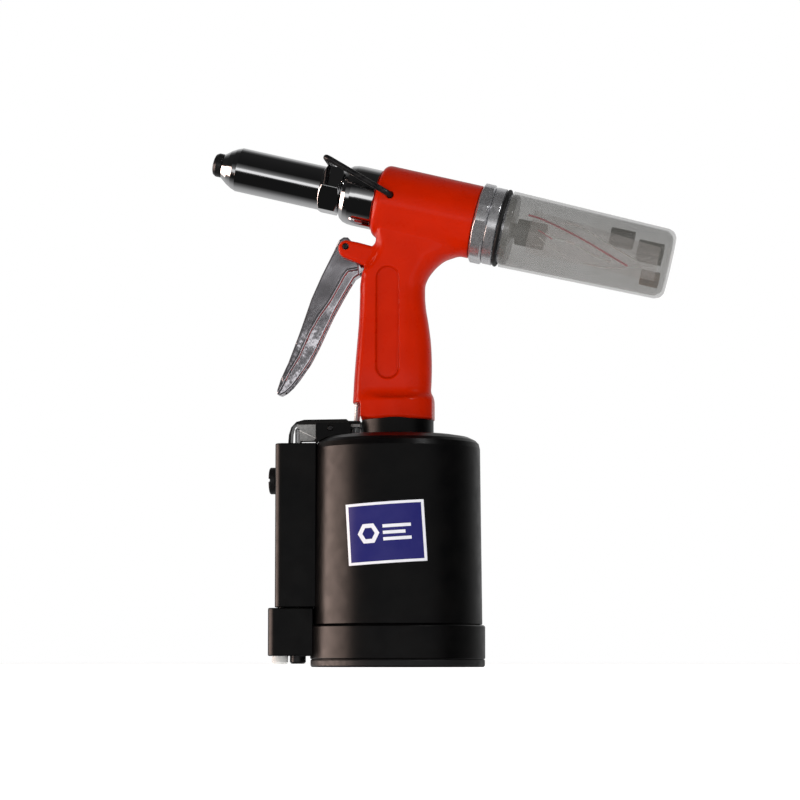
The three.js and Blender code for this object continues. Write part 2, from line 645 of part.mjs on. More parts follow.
const airPiston = () => turned([
  [5.2, PISTON_FOOT], [42.6, PISTON_FOOT], [43.6, PISTON_FOOT + 1], [43.6, 33.4], [40.6, 33.4],
  [40.6, 36.6], [43.6, 36.6], [43.6, PISTON_TOP - 1], [42.6, PISTON_TOP], [5.2, PISTON_TOP],
]);

const airPistonSeal = () => tube(40.9, 43.7, 33.7, 36.3, ROUND);

const pistonNut = () => cut(hexagon(16.0, 25.2, 29.7), rod(5.2, 20, 40));

const pistonBumper = () => tube(18.0, 30.0, 113.0, BORE_TOP - GAP, ROUND);

function baseCover() {
  const cup = turned([
    [0, BASE_BOTTOM], [BASE_R, BASE_BOTTOM], [BASE_R, BASE_TOP - 0.8], [BASE_R - 0.8, BASE_TOP],
    [43.6, BASE_TOP], [43.6, 25.0], [42.0, 25.0], [42.0, 27.4], [43.6, 27.4], [43.6, 29.4],
    [38.0, 29.4], [38.0, 12.0], [0, 12.0],
  ]);
  const block = cut(
    roundedBlock(BASE_BLOCK_X, -42, BASE_BLOCK_HALF, 6, BASE_BLOCK_BOTTOM, BASE_BLOCK_TOP),
    rod(SHELL_FOOT_R + GAP, BASE_TOP, 50, ROUND),
  );
  return cut(
    join(cup, block),
    rod(38.0, 12.0, 60, ROUND),
    rod(5.0, 0, 40).translate(VALVE_X, 0, 0),
    rod(4.9, 0, 20).translate(MUFFLER_X, 0, 0),
    box(-66, -58, -1.5, 1.5, 15.5, 18.5),
    ...[-1, 1].map((side) => join(rod(2.1, 0, 40, TINY_ROUND), rod(3.7, 0, 10.4, TINY_ROUND))
      .translate(COVER_SCREW_X, side * COVER_SCREW_Y, 0)),
  );
}

const baseSeal = () => ring(43.0, 0.75, 26.2);

// The foot is a flat moulded pad with a rim round a shallow recess in its upper face.
const footPad = () => turned([
  [0, 0], [FOOT_R - 0.8, 0], [FOOT_R, 0.8], [FOOT_R, FOOT_H], [30.0, FOOT_H], [29.0, 3.0], [0, 3.0],
]);

const coverScrew = (side) => join(
  rod(1.7, 9.8, 43.0, TINY_ROUND),
  cut(rod(3.2, 7.0, 10.1, TINY_ROUND), hexagon(3.0, 6, 8.6)),
).translate(COVER_SCREW_X, side * COVER_SCREW_Y, 0);

// ---------------------------------------------------------------- valve

const valveSpool = () => turned([
  [0, 38.0], [4.2, 38.0], [4.2, 50.0], [6.0, 50.0], [6.0, 52.6], [4.7, 52.6], [4.7, 54.4],
  [6.0, 54.4], [6.0, 57.0], [3.4, 58.5], [3.4, 90.0], [6.0, 91.5], [6.0, 94.0], [4.7, 94.0],
  [4.7, 95.8], [6.0, 95.8], [6.0, 98.5], [2.0, 100.0], [2.0, 136.4], [1.3, 137.3], [0, 137.3],
], SMALL_ROUND).translate(VALVE_X, 0, 0);

const spoolSeal = (z) => ring(5.5, 0.55, z, SMALL_ROUND).translate(VALVE_X, 0, 0);

const valveSpring = () => spring(3.3, 0.5, 14.4, 37.7, 7).translate(VALVE_X, 0, 0);

const valvePlug = () => cut(
  turned([[0, 1.9], [3.6, 1.9], [4.6, 2.9], [4.6, 14.0], [0, 14.0]], SMALL_ROUND),
  hexagon(4.0, 0, 5.0),
).translate(VALVE_X, 0, 0);

const muffler = () => turned([
  [0, 2.2], [3.4, 1.6], [4.6, 2.8], [4.6, 17.6], [2.6, 17.6], [2.6, 6.0], [0, 6.0],
], SMALL_ROUND).translate(MUFFLER_X, 0, 0);

const inletFitting = () => tubeX(4.5, 5.9, -69.1, -62.4).translate(0, 0, INLET_Z);

function inletPlug() {
  const disc = turnedX([
    [-74.0, 0], [-74.0, 7.1], [-73.3, 7.8], [-70.5, 7.8], [-69.8, 7.1], [-69.8, 4.1], [-63.5, 4.1],
    [-63.5, 0],
  ]).translate(0, 0, INLET_Z);
  return cut(disc, box(-76, -72.8, -9, 9, INLET_Z - 0.75, INLET_Z + 0.75));
}

// ---------------------------------------------------------------- label

// A thin vinyl rectangle wrapped round the front of the cylinder, turned a little out of level.
const LABEL = { x: -2.3, z: 74.8, width: 44.2, height: 34.3, turn: 3.6 };

function label() {
  const foot = 50;
  const top = 100;
  const draft = (SHELL_TOP_R - SHELL_FOOT_R) / (SHOULDER[0][1] - SHELL_FOOT_Z);
  const shellRadius = (z) => SHELL_FOOT_R + draft * (z - SHELL_FOOT_Z);
  const skin = turned([
    [shellRadius(foot) + 0.3, foot], [shellRadius(foot) + 0.6, foot],
    [shellRadius(top) + 0.6, top], [shellRadius(top) + 0.3, top],
  ], 96);
  const window = box(-LABEL.width / 2, LABEL.width / 2, -60, -20, -LABEL.height / 2,
    LABEL.height / 2)
    .rotateY(THREE.MathUtils.degToRad(-LABEL.turn))
    .translate(LABEL.x, 0, LABEL.z);
  return common(skin, window);
}

// ---------------------------------------------------------------- assembly

add(head, 'nosepiece', nosepiece(), DARK_STEEL);
add(head, 'nose_housing', noseHousing(), CHROME);
add(head, 'jaw_case', jawCase(), STEEL);
[1, 2, 3].forEach((n) => add(head, `jaw_${n}`, jaw(((n - 1) * 2 * Math.PI) / 3), DARK_STEEL));
add(head, 'jaw_pusher', jawPusher(), STEEL);
add(head, 'jaw_spring', jawSpring(), STEEL);
add(head, 'frame_cap', frameCap(), CHROME);
add(head, 'rod_seal', rodSeal(), RUBBER);
add(head, 'pull_piston', pullPiston(), STEEL);
add(head, 'pull_piston_seal', pistonSeal(), RUBBER);
add(head, 'guide_pipe', guidePipe(), DARK_STEEL);
add(head, 'oil_screw', oilScrew(), STEEL);
add(head, 'oil_screw_washer', oilWasher(), BRASS);
add(head, 'tail_nut', tailNut(), ALUMINIUM);
add(head, 'collector_mount', collectorMount(), ALUMINIUM);
add(head, 'collector_seal', collectorSeal(), RUBBER);
add(head, 'collector_bottle', collectorBottle(), FROSTED);
add(head, 'accessory_bag', accessoryBag(), FILM);
add(head, 'spare_nosepiece_1', sparePiece(124, 138, 5.4, 1.5, 9.4), DARK_STEEL);
add(head, 'spare_nosepiece_2', sparePiece(141, 156, 6.4, 1.5, 5.0), DARK_STEEL);
add(head, 'spare_nosepiece_3', sparePiece(146, 157, 4.6, 3.0, -9.6), BRASS);
add(head, 'hanger_bail', hangerBail(), DARK_STEEL);

add(gun, 'handle_casting', handleCasting(), PAINT);
add(gun, 'ram_seal', ramSeal(), RUBBER);
add(gun, 'trigger', trigger(), CHROME);
add(gun, 'trigger_pin', triggerPin(), DARK_STEEL);
add(gun, 'trigger_link', triggerLink(), STEEL);
add(gun, 'link_nut', linkNut(), STEEL);
add(gun, 'valve_lever', valveLever(), ZINC);
add(gun, 'lever_cover', leverCover(), ANODISED);
add(gun, 'lever_pin', leverPin(), STEEL);
add(gun, 'lever_bracket', leverBracket(), ANODISED);
BRACKET_SCREWS.forEach((at, n) => add(gun, `bracket_screw_${n + 1}`, bracketScrew(at), DARK_STEEL));

add(gun, 'neck_collar', neckCollar(), ANODISED);
add(gun, 'cylinder_body', cylinderBody(), ANODISED);
add(gun, 'ram', ram(), STEEL);
add(gun, 'air_piston', airPiston(), ALUMINIUM);
add(gun, 'air_piston_seal', airPistonSeal(), RUBBER);
add(gun, 'piston_nut', pistonNut(), STEEL);
add(gun, 'piston_bumper', pistonBumper(), RUBBER);
add(gun, 'base_cover', baseCover(), ANODISED);
add(gun, 'base_seal', baseSeal(), RUBBER);
add(gun, 'foot_pad', footPad(), RUBBER);
[-1, 1].forEach((side, n) => add(gun, `cover_screw_${n + 1}`, coverScrew(side), DARK_STEEL));

add(gun, 'valve_spool', valveSpool(), STEEL);
[53.5, 94.9].forEach((z, n) => add(gun, `spool_seal_${n + 1}`, spoolSeal(z), RUBBER));
add(gun, 'valve_spring', valveSpring(), STEEL);
add(gun, 'valve_plug', valvePlug(), DARK_STEEL);
add(gun, 'muffler', muffler(), WHITE_PLASTIC);
add(gun, 'inlet_fitting', inletFitting(), STEEL);
add(gun, 'inlet_plug', inletPlug(), RUBBER);
add(gun, 'label', label(), BLUE_VINYL);

export default gun;
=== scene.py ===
"""The looks of a pneumatic rivet gun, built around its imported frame.

Shapes are worked out in millimetres, in the frame's own axes: +Z up the air cylinder, -X towards the
nose. The head lies along its own tilted axis, so its pieces use stations along that axis instead.
"""

import json
import math

import bmesh
import bpy
import numpy as np
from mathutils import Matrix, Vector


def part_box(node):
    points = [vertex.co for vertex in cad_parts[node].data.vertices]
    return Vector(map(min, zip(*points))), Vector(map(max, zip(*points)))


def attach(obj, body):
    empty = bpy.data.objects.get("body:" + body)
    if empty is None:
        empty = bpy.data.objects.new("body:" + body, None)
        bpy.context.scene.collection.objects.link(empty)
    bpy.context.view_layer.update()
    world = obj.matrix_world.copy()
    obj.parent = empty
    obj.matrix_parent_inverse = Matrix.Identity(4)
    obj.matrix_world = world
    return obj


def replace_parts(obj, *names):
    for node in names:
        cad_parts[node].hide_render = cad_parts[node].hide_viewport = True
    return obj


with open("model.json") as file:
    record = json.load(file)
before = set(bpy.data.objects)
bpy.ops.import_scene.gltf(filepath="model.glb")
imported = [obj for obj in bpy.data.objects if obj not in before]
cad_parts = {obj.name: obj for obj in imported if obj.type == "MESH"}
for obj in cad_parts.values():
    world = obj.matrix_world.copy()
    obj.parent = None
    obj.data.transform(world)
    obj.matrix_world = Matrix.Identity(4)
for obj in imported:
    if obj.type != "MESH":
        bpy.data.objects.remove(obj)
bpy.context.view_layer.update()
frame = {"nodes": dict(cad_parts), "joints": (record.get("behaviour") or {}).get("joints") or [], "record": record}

import openvdb
from mathutils import Vector

MM = 0.001
TURN = 2 * math.pi
SHARP = math.radians(28)
SEGMENTS = 96
ROUND = 160
RECORD = frame["record"]
JOINT = {joint["name"]: joint for joint in frame["joints"]}
BODY = {node: body for body, nodes in RECORD["behaviour"]["bodies"].items() for node in nodes}
SLOT = {part["node"]: part["material_slot"] for part in RECORD["subparts"]}
FINISHES = {}


# ---------------- where things are

def unit(vector):
    """The vector, made one long."""
    vector = np.array(vector, float)
    return vector / np.linalg.norm(vector)


class Line:
    """An axis in space: a point on it, its direction, and the two directions across it."""

    def __init__(self, point, across, up):
        self.point = np.array(point, float)
        self.across = unit(across)
        self.up = unit(up)
        self.along = np.cross(self.across, self.up)

    def local(self, points):
        """Distances across, up and along the line."""
        offset = points - self.point
        return offset @ self.across, offset @ self.up, offset @ self.along

    def place(self, across, up, along):
        """The points at these distances across, up and along the line."""
        parts = np.broadcast_arrays(across, up, along)
        return (self.point + parts[0][..., None] * self.across + parts[1][..., None] * self.up
                + parts[2][..., None] * self.along)

    def centred_on(self, node):
        """The same direction, through the middle of a CAD node."""
        across, up, _ = self.local(cad_points(node))
        middle = self.place((across.min() + across.max()) / 2, (up.min() + up.max()) / 2, 0.0)
        return Line(middle, self.across, self.up)


def cad_points(node):
    """A CAD node's vertices, in millimetres."""
    mesh = frame["nodes"][node].data
    flat = np.empty(3 * len(mesh.vertices))
    mesh.vertices.foreach_get("co", flat)
    return flat.reshape(-1, 3) / MM


def cad_box(node):
    """A CAD node's lowest and highest corners, in millimetres."""
    low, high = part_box(node)
    return np.array(low) / MM, np.array(high) / MM


X, Y, Z = np.eye(3)
UPRIGHT = Line((0, 0, 0), X, Y)
FORWARD = Line((0, 0, 0), Y, Z)
SIDEWAYS = Line((0, 0, 0), Z, X)


def head_line():
    """The head's axis. Its stations count from the point above the cylinder's axis."""
    along = unit(JOINT["pull_slide"]["axis"])
    middle = cad_points("collector_seal").mean(axis=0)
    point = middle - along * (middle[0] / along[0])
    return Line(point * (1, 0, 1), Y, np.cross(along, Y))


HEAD = head_line()


# ---------------- making pieces

def linked(name, data):
    """A new object in the scene."""
    thing = bpy.data.objects.new(name, data)
    bpy.context.scene.collection.objects.link(thing)
    return thing


def new_piece(name, points, faces, normals=None):
    """A smooth mesh object from points in millimetres."""
    mesh = bpy.data.meshes.new(name)
    mesh.from_pydata((np.asarray(points) * MM).tolist(), [], [tuple(map(int, f)) for f in faces])
    mesh.shade_smooth()
    if normals is not None:
        mesh.normals_split_custom_set_from_vertices(normals.tolist())
    return linked(name, mesh)


def detail(piece, node, finish=None):
    """A piece that moves with a CAD node's body, in that node's finish or another."""
    piece.data.materials.clear()
    piece.data.materials.append(FINISHES[finish or SLOT[node]])
    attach(piece, BODY[node])
    return piece


def adopt(piece, node, finish=None):
    """A piece that takes a CAD node's place."""
    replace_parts(piece, node)
    return detail(piece, node, finish)


def rounded(profile, radius, closed):
    """The outline with each corner rounded, and a support point on both sides of it."""
    points = np.array(profile, float)
    result = []
    for i, corner in enumerate(points):
        if not closed and i in (0, len(points) - 1):
            result.append(corner)
            continue
        back = points[i - 1] - corner
        ahead = points[(i + 1) % len(points)] - corner
        lengths = np.linalg.norm(back), np.linalg.norm(ahead)
        back, ahead = back / lengths[0], ahead / lengths[1]
        turn = math.pi - math.acos(np.clip(back @ ahead, -1, 1))
        if turn < math.radians(4):
            result.append(corner)
            continue
        reach = min(radius * math.tan(turn / 2), 0.38 * lengths[0], 0.38 * lengths[1])
        fillet = reach / math.tan(turn / 2)
        centre = corner + unit(back + ahead) * fillet / math.cos(turn / 2)
        start, end = corner + back * reach, corner + ahead * reach
        steps = max(2, round(turn / math.radians(22)))
        result.append(corner + back * reach * 1.25)
        for step in range(steps + 1):
            t = step / steps
            mix = math.sin((1 - t) * turn) * (start - centre) + math.sin(t * turn) * (end - centre)
            result.append(centre + mix / math.sin(turn))
        result.append(corner + ahead * reach * 1.25)
    return np.array(result)


def section(node, line, toward=None):
    """The outline of a turned CAD node as (station, radius) points, cut beside a corner of its facets."""
    mesh = frame["nodes"][node].data
    mesh.calc_loop_triangles()
    points = cad_points(node)
    across, up, along = line.local(points)
    if toward is None:
        far = np.argmax(np.hypot(across, up))
        angle = math.atan2(up[far], across[far])
    else:
        angle = math.atan2(np.dot(toward, line.up), np.dot(toward, line.across))
    angle += 0.002
    off = up * math.cos(angle) - across * math.sin(angle)
    out = across * math.cos(angle) + up * math.sin(angle)
    links = {}
    for triangle in mesh.loop_triangles:
        hits = []
        for i, j in ((0, 1), (1, 2), (2, 0)):
            a, b = triangle.vertices[i], triangle.vertices[j]
            if (off[a] >= 0) == (off[b] >= 0):
                continue
            t = off[a] / (off[a] - off[b])
            hits.append((along[a] + t * (along[b] - along[a]), out[a] + t * (out[b] - out[a])))
        if len(hits) == 2 and (hits[0][1] + hits[1][1]) > -1e-4:
            ends = [(round(s, 3), round(max(r, 0.0), 3)) for s, r in hits]
            if ends[0] != ends[1]:
                links.setdefault(ends[0], set()).add(ends[1])
                links.setdefault(ends[1], set()).add(ends[0])
    outlines = []
    while links:
        starts = [p for p, near in links.items() if len(near) == 1]
        here = min(starts or links)
        chain = [here]
        while links.get(here):
            there = links[here].pop()
            links[there].discard(here)
            chain.append(there)
            here = there
        links = {p: near for p, near in links.items() if near}
        outlines.append(chain)
    chain = np.array(max(outlines, key=len))
    closed = bool(np.allclose(chain[0], chain[-1]))
    if closed:
        chain = chain[:-1]
    return without_straights(chain, closed), closed


def without_straights(chain, closed):
    """Leaves out the points that lie on a straight run or repeat their neighbour."""
    keep = []
    for i, point in enumerate(chain):
        if not closed and i in (0, len(chain) - 1):
            keep.append(point)
            continue
        back = point - (keep[-1] if keep else chain[i - 1])
        ahead = chain[(i + 1) % len(chain)] - point
        if min(np.linalg.norm(back), np.linalg.norm(ahead)) < 0.02:
            continue
        bend = back[0] * ahead[1] - back[1] * ahead[0]
        if abs(bend) > 0.012 * np.linalg.norm(back) * np.linalg.norm(ahead):
            keep.append(point)
    return np.array(keep)


def flats_radius(theta, apothem, count, phase):
    """The radius of a polygon with slightly rounded corners, at each angle."""
    wedge = TURN / count
    turned = (theta - phase) % wedge - wedge / 2
    near, other = np.cos(turned), np.cos(wedge - np.abs(turned))
    soft = 0.012
    blend = np.clip(soft - np.abs(near - other), 0, None) / soft
    return apothem / (np.maximum(near, other) + blend ** 2 * soft / 4)


def lathe(name, profile, line, closed, segments=SEGMENTS, flats=None):
    """Turns a (station, radius) outline about a line. flats is their (apothem, count, phase)."""
    profile = np.array(profile, float)
    theta = np.arange(segments) * TURN / segments
    points, rings = [], []
    for station, radius in profile:
        if radius < 1e-4:
            rings.append([len(points)] * segments)
            points.append(line.place(0.0, 0.0, station))
            continue
        reach = np.full(segments, radius)
        if flats is not None and radius > flats[0]:
            reach = np.minimum(reach, flats_radius(theta, *flats))
        rings.append(list(range(len(points), len(points) + segments)))
        points.extend(line.place(reach * np.cos(theta), reach * np.sin(theta), station))
    faces = []
    pairs = list(zip(rings, rings[1:])) + ([(rings[-1], rings[0])] if closed else [])
    for one, two in pairs:
        for k in range(segments):
            nxt = (k + 1) % segments
            corners = [one[k], one[nxt], two[nxt], two[k]]
            face = list(dict.fromkeys(corners))
            if len(face) > 2:
                faces.append(face)
    points = np.array(points)
    return new_piece(name, points, outward(points, faces))


def outward(points, faces):
    """The faces, turned round where they would enclose a negative volume."""
    volume = 0.0
    for face in faces:
        for i in range(1, len(face) - 1):
            a, b, c = points[face[0]], points[face[i]], points[face[i + 1]]
            volume += a @ np.cross(b, c)
    return faces if volume > 0 else [face[::-1] for face in faces]


def densified(profile, closed, longest):
    """The outline with its long segments divided."""
    result = []
    ends = list(profile[1:]) + ([profile[0]] if closed else [])
    for a, b in zip(profile, ends):
        count = max(1, math.ceil(np.linalg.norm(b - a) / longest))
        result.extend(a + (b - a) * k / count for k in range(count))
    return np.array(result if closed else result + [profile[-1]])


def round_shell(name, node, line, fillet, segments, toward=None):
    """The round part of a CAD node, turned about a line as it stands, in the node's place."""
    profile, closed = section(node, line, toward)
    adopt(lathe(name, rounded(profile, fillet, closed), line, closed, segments), node)


def turned(node, line, fillet, flats=0, segments=SEGMENTS):
    """A CAD node of facets made again as a truly round piece, with rounded edges."""
    axis = line.centred_on(node)
    profile, closed = section(node, axis)
    profile = rounded(profile, fillet, closed)
    sides = None
    if flats:
        across, up, _ = axis.local(cad_points(node))
        far = np.argmax(np.hypot(across, up))
        reach = math.hypot(across[far], up[far])
        sides = (reach * math.cos(math.pi / flats), flats, math.atan2(up[far], across[far]))
        profile = densified(profile, closed, 0.4)
    return adopt(lathe(node + "_turned", profile, axis, closed, segments, sides), node)


def refined(node, bevel):
    """A CAD node with its flat faces merged and its edges bevelled."""
    mesh = frame["nodes"][node].data.copy()
    body = bmesh.new()
    body.from_mesh(mesh)
    bmesh.ops.remove_doubles(body, verts=body.verts, dist=1e-6)
    bmesh.ops.dissolve_limit(body, angle_limit=math.radians(0.6), verts=body.verts, edges=body.edges)
    sharp = [e for e in body.edges if len(e.link_faces) == 2 and e.calc_face_angle(0) > SHARP]
    bmesh.ops.bevel(body, geom=sharp, offset=bevel * MM, segments=2, profile=0.6, affect="EDGES",
                    clamp_overlap=True)
    body.to_mesh(mesh)
    body.free()
    mesh.shade_smooth()
    piece = linked(node + "_bevelled", mesh)
    weighted = piece.modifiers.new("weighted_normals", "WEIGHTED_NORMAL")
    weighted.weight = 80
    return adopt(piece, node)


# ---------------- solids from distance fields

def join(a, b, blend):
    """The union of two fields, with a fillet where they meet."""
    h = np.clip(0.5 + 0.5 * (b - a) / blend, 0, 1)
    return b * (1 - h) + a * h - blend * h * (1 - h)


def meet(a, b, blend):
    """What two fields share."""
    return -join(-a, -b, blend)


def cut(a, b, blend):
    """The first field without the second."""
    return meet(a, -b, blend)


def polygon_field(outline, x, z):
    """The signed distance to a closed outline in the XZ plane."""
    corners = np.array(outline, float)
    best = np.full(np.broadcast(x, z).shape, 1e9, np.float32)
    inside = np.zeros(best.shape, bool)
    for a, b in zip(corners, np.roll(corners, -1, axis=0)):
        edge = b - a
        px, pz = x - a[0], z - a[1]
        t = np.clip((px * edge[0] + pz * edge[1]) / (edge @ edge), 0, 1)
        best = np.minimum(best, (px - t * edge[0]) ** 2 + (pz - t * edge[1]) ** 2)
        crosses = (a[1] > z) != (b[1] > z)
        if a[1] != b[1]:
            inside ^= crosses & (x < a[0] + (z - a[1]) * edge[0] / edge[1])
    return np.where(inside, -1, 1) * np.sqrt(best)


def capped(radial, lengthwise, edge):
    """A cylinder's field from its distances past the wall and past the ends, with a rounded edge."""
    outer = np.hypot(np.maximum(radial + edge, 0), np.maximum(lengthwise + edge, 0))
    return np.minimum(np.maximum(radial, lengthwise) + edge, 0) + outer - edge


def curve(points):
    """A smooth function through (at, value) points."""
    at, value = np.array(sorted(points), float).T
    slope = np.gradient(value, at)

    def read(where):
        where = np.clip(where, at[0], at[-1])
        i = np.clip(np.searchsorted(at, where) - 1, 0, len(at) - 2)
        width = at[i + 1] - at[i]
        t = (where - at[i]) / width
        return ((2 * t ** 3 - 3 * t ** 2 + 1) * value[i] + (t ** 3 - 2 * t ** 2 + t) * width * slope[i]
                + (3 * t ** 2 - 2 * t ** 3) * value[i + 1] + (t ** 3 - t ** 2) * width * slope[i + 1])
    return read


def gradient(field, points):
    """The slope of a field at some points."""
    reach = 0.04
    result = np.empty_like(points)
    for axis in range(3):
        step = np.zeros(3)
        step[axis] = reach
        result[:, axis] = (field(*(points + step).T) - field(*(points - step).T)) / (2 * reach)
    return result


def solid(name, field, low, high, step):
    """The surface where a field is zero, as quads drawn onto it."""
    low, high = np.array(low, float), np.array(high, float)
    x, y, z = (np.arange(a, b + step, step) for a, b in zip(low, high))
    values = field(x[:, None, None], y[None, :, None], z[None, None, :])
    values = np.ascontiguousarray(np.broadcast_to(values, (len(x), len(y), len(z))), np.float32)
    grid = openvdb.FloatGrid(3.0)
    grid.copyFromArray(values)
    points, quads = grid.convertToQuads(0.0)
    points = points.astype(float) * step + low
    furthest = 0.4 * step
    for _ in range(4):
        slope = gradient(field, points)
        size = np.maximum((slope ** 2).sum(axis=1), 0.05)
        move = np.clip(field(*points.T) / size, -furthest, furthest)
        points -= slope * move[:, None]
    slope = gradient(field, points)
    normals = slope / np.maximum(np.linalg.norm(slope, axis=1), 1e-9)[:, None]
    return new_piece(name, points, quads, normals)


# ---------------- finishes

class Finish:
    """A procedural material under construction."""

    def __init__(self, name, colour, roughness, metallic=0.0, **sockets):
        self.material = bpy.data.materials.new(name)
        self.material.use_nodes = True
        self.nodes = self.material.node_tree.nodes
        self.links = self.material.node_tree.links
        self.shader = self.nodes["Principled BSDF"]
        self.colour = colour
        self.place = self.nodes.new("ShaderNodeTexCoord").outputs["Object"]
        self.height = None
        self.shader.inputs["Base Color"].default_value = (*colour, 1)
        self.shader.inputs["Roughness"].default_value = roughness
        self.shader.inputs["Metallic"].default_value = metallic
        for socket, value in sockets.items():
            self.shader.inputs[socket.replace("_", " ")].default_value = value
        FINISHES[name] = self.material

    def noise(self, size, detail=3.0, stretch=(1, 1, 1)):
        """Noise with features of a given size in millimetres, stretched along the axes."""
        mapping = self.nodes.new("ShaderNodeMapping")
        mapping.inputs["Scale"].default_value = [1 / (size * MM * s) for s in stretch]
        self.links.new(self.place, mapping.inputs["Vector"])
        noise = self.nodes.new("ShaderNodeTexNoise")
        noise.inputs["Scale"].default_value = 1.0
        noise.inputs["Detail"].default_value = detail
        self.links.new(mapping.outputs["Vector"], noise.inputs["Vector"])
        return noise.outputs["Fac"]

    def spread(self, source, low, high, start=0.35, end=0.65):
        """A 0 to 1 source, remapped between two values."""
        node = self.nodes.new("ShaderNodeMapRange")
        for socket, value in (("From Min", start), ("From Max", end), ("To Min", low), ("To Max", high)):
            node.inputs[socket].default_value = value
        self.links.new(source, node.inputs["Value"])
        return node.outputs["Result"]

    def tint(self, other, source):
        """Mixes another colour in where the source is high."""
        mix = self.nodes.new("ShaderNodeMix")
        mix.data_type = "RGBA"
        into = self.shader.inputs["Base Color"]
        if into.is_linked:
            self.links.new(into.links[0].from_socket, mix.inputs["A"])
        else:
            mix.inputs["A"].default_value = (*self.colour, 1)
        mix.inputs["B"].default_value = (*other, 1)
        self.links.new(source, mix.inputs["Factor"])
        self.links.new(mix.outputs["Result"], into)

    def mottle(self, other, amount, *noise):
        """Mixes another colour in, in patches."""
        self.tint(other, self.spread(self.noise(*noise), 0, amount))

    def rough(self, low, high, *noise):
        """A roughness that varies in patches."""
        self.links.new(self.spread(self.noise(*noise), low, high), self.shader.inputs["Roughness"])

    def grain(self, depth, strength, *noise):
        """Fine relief, with a depth in millimetres."""
        self.bump(self.noise(*noise), depth, strength)

    def bump(self, source, depth, strength):
        """Raises the surface by the source, up to a depth in millimetres."""
        node = self.nodes.new("ShaderNodeBump")
        node.inputs["Strength"].default_value = strength
        node.inputs["Distance"].default_value = depth * MM
        self.links.new(source, node.inputs["Height"])
        if self.height is not None:
            self.links.new(self.height, node.inputs["Normal"])
        self.height = node.outputs["Normal"]
        self.links.new(self.height, self.shader.inputs["Normal"])

    def pointiness(self):
        """High along outer edges."""
        return self.nodes.new("ShaderNodeNewGeometry").outputs["Pointiness"]


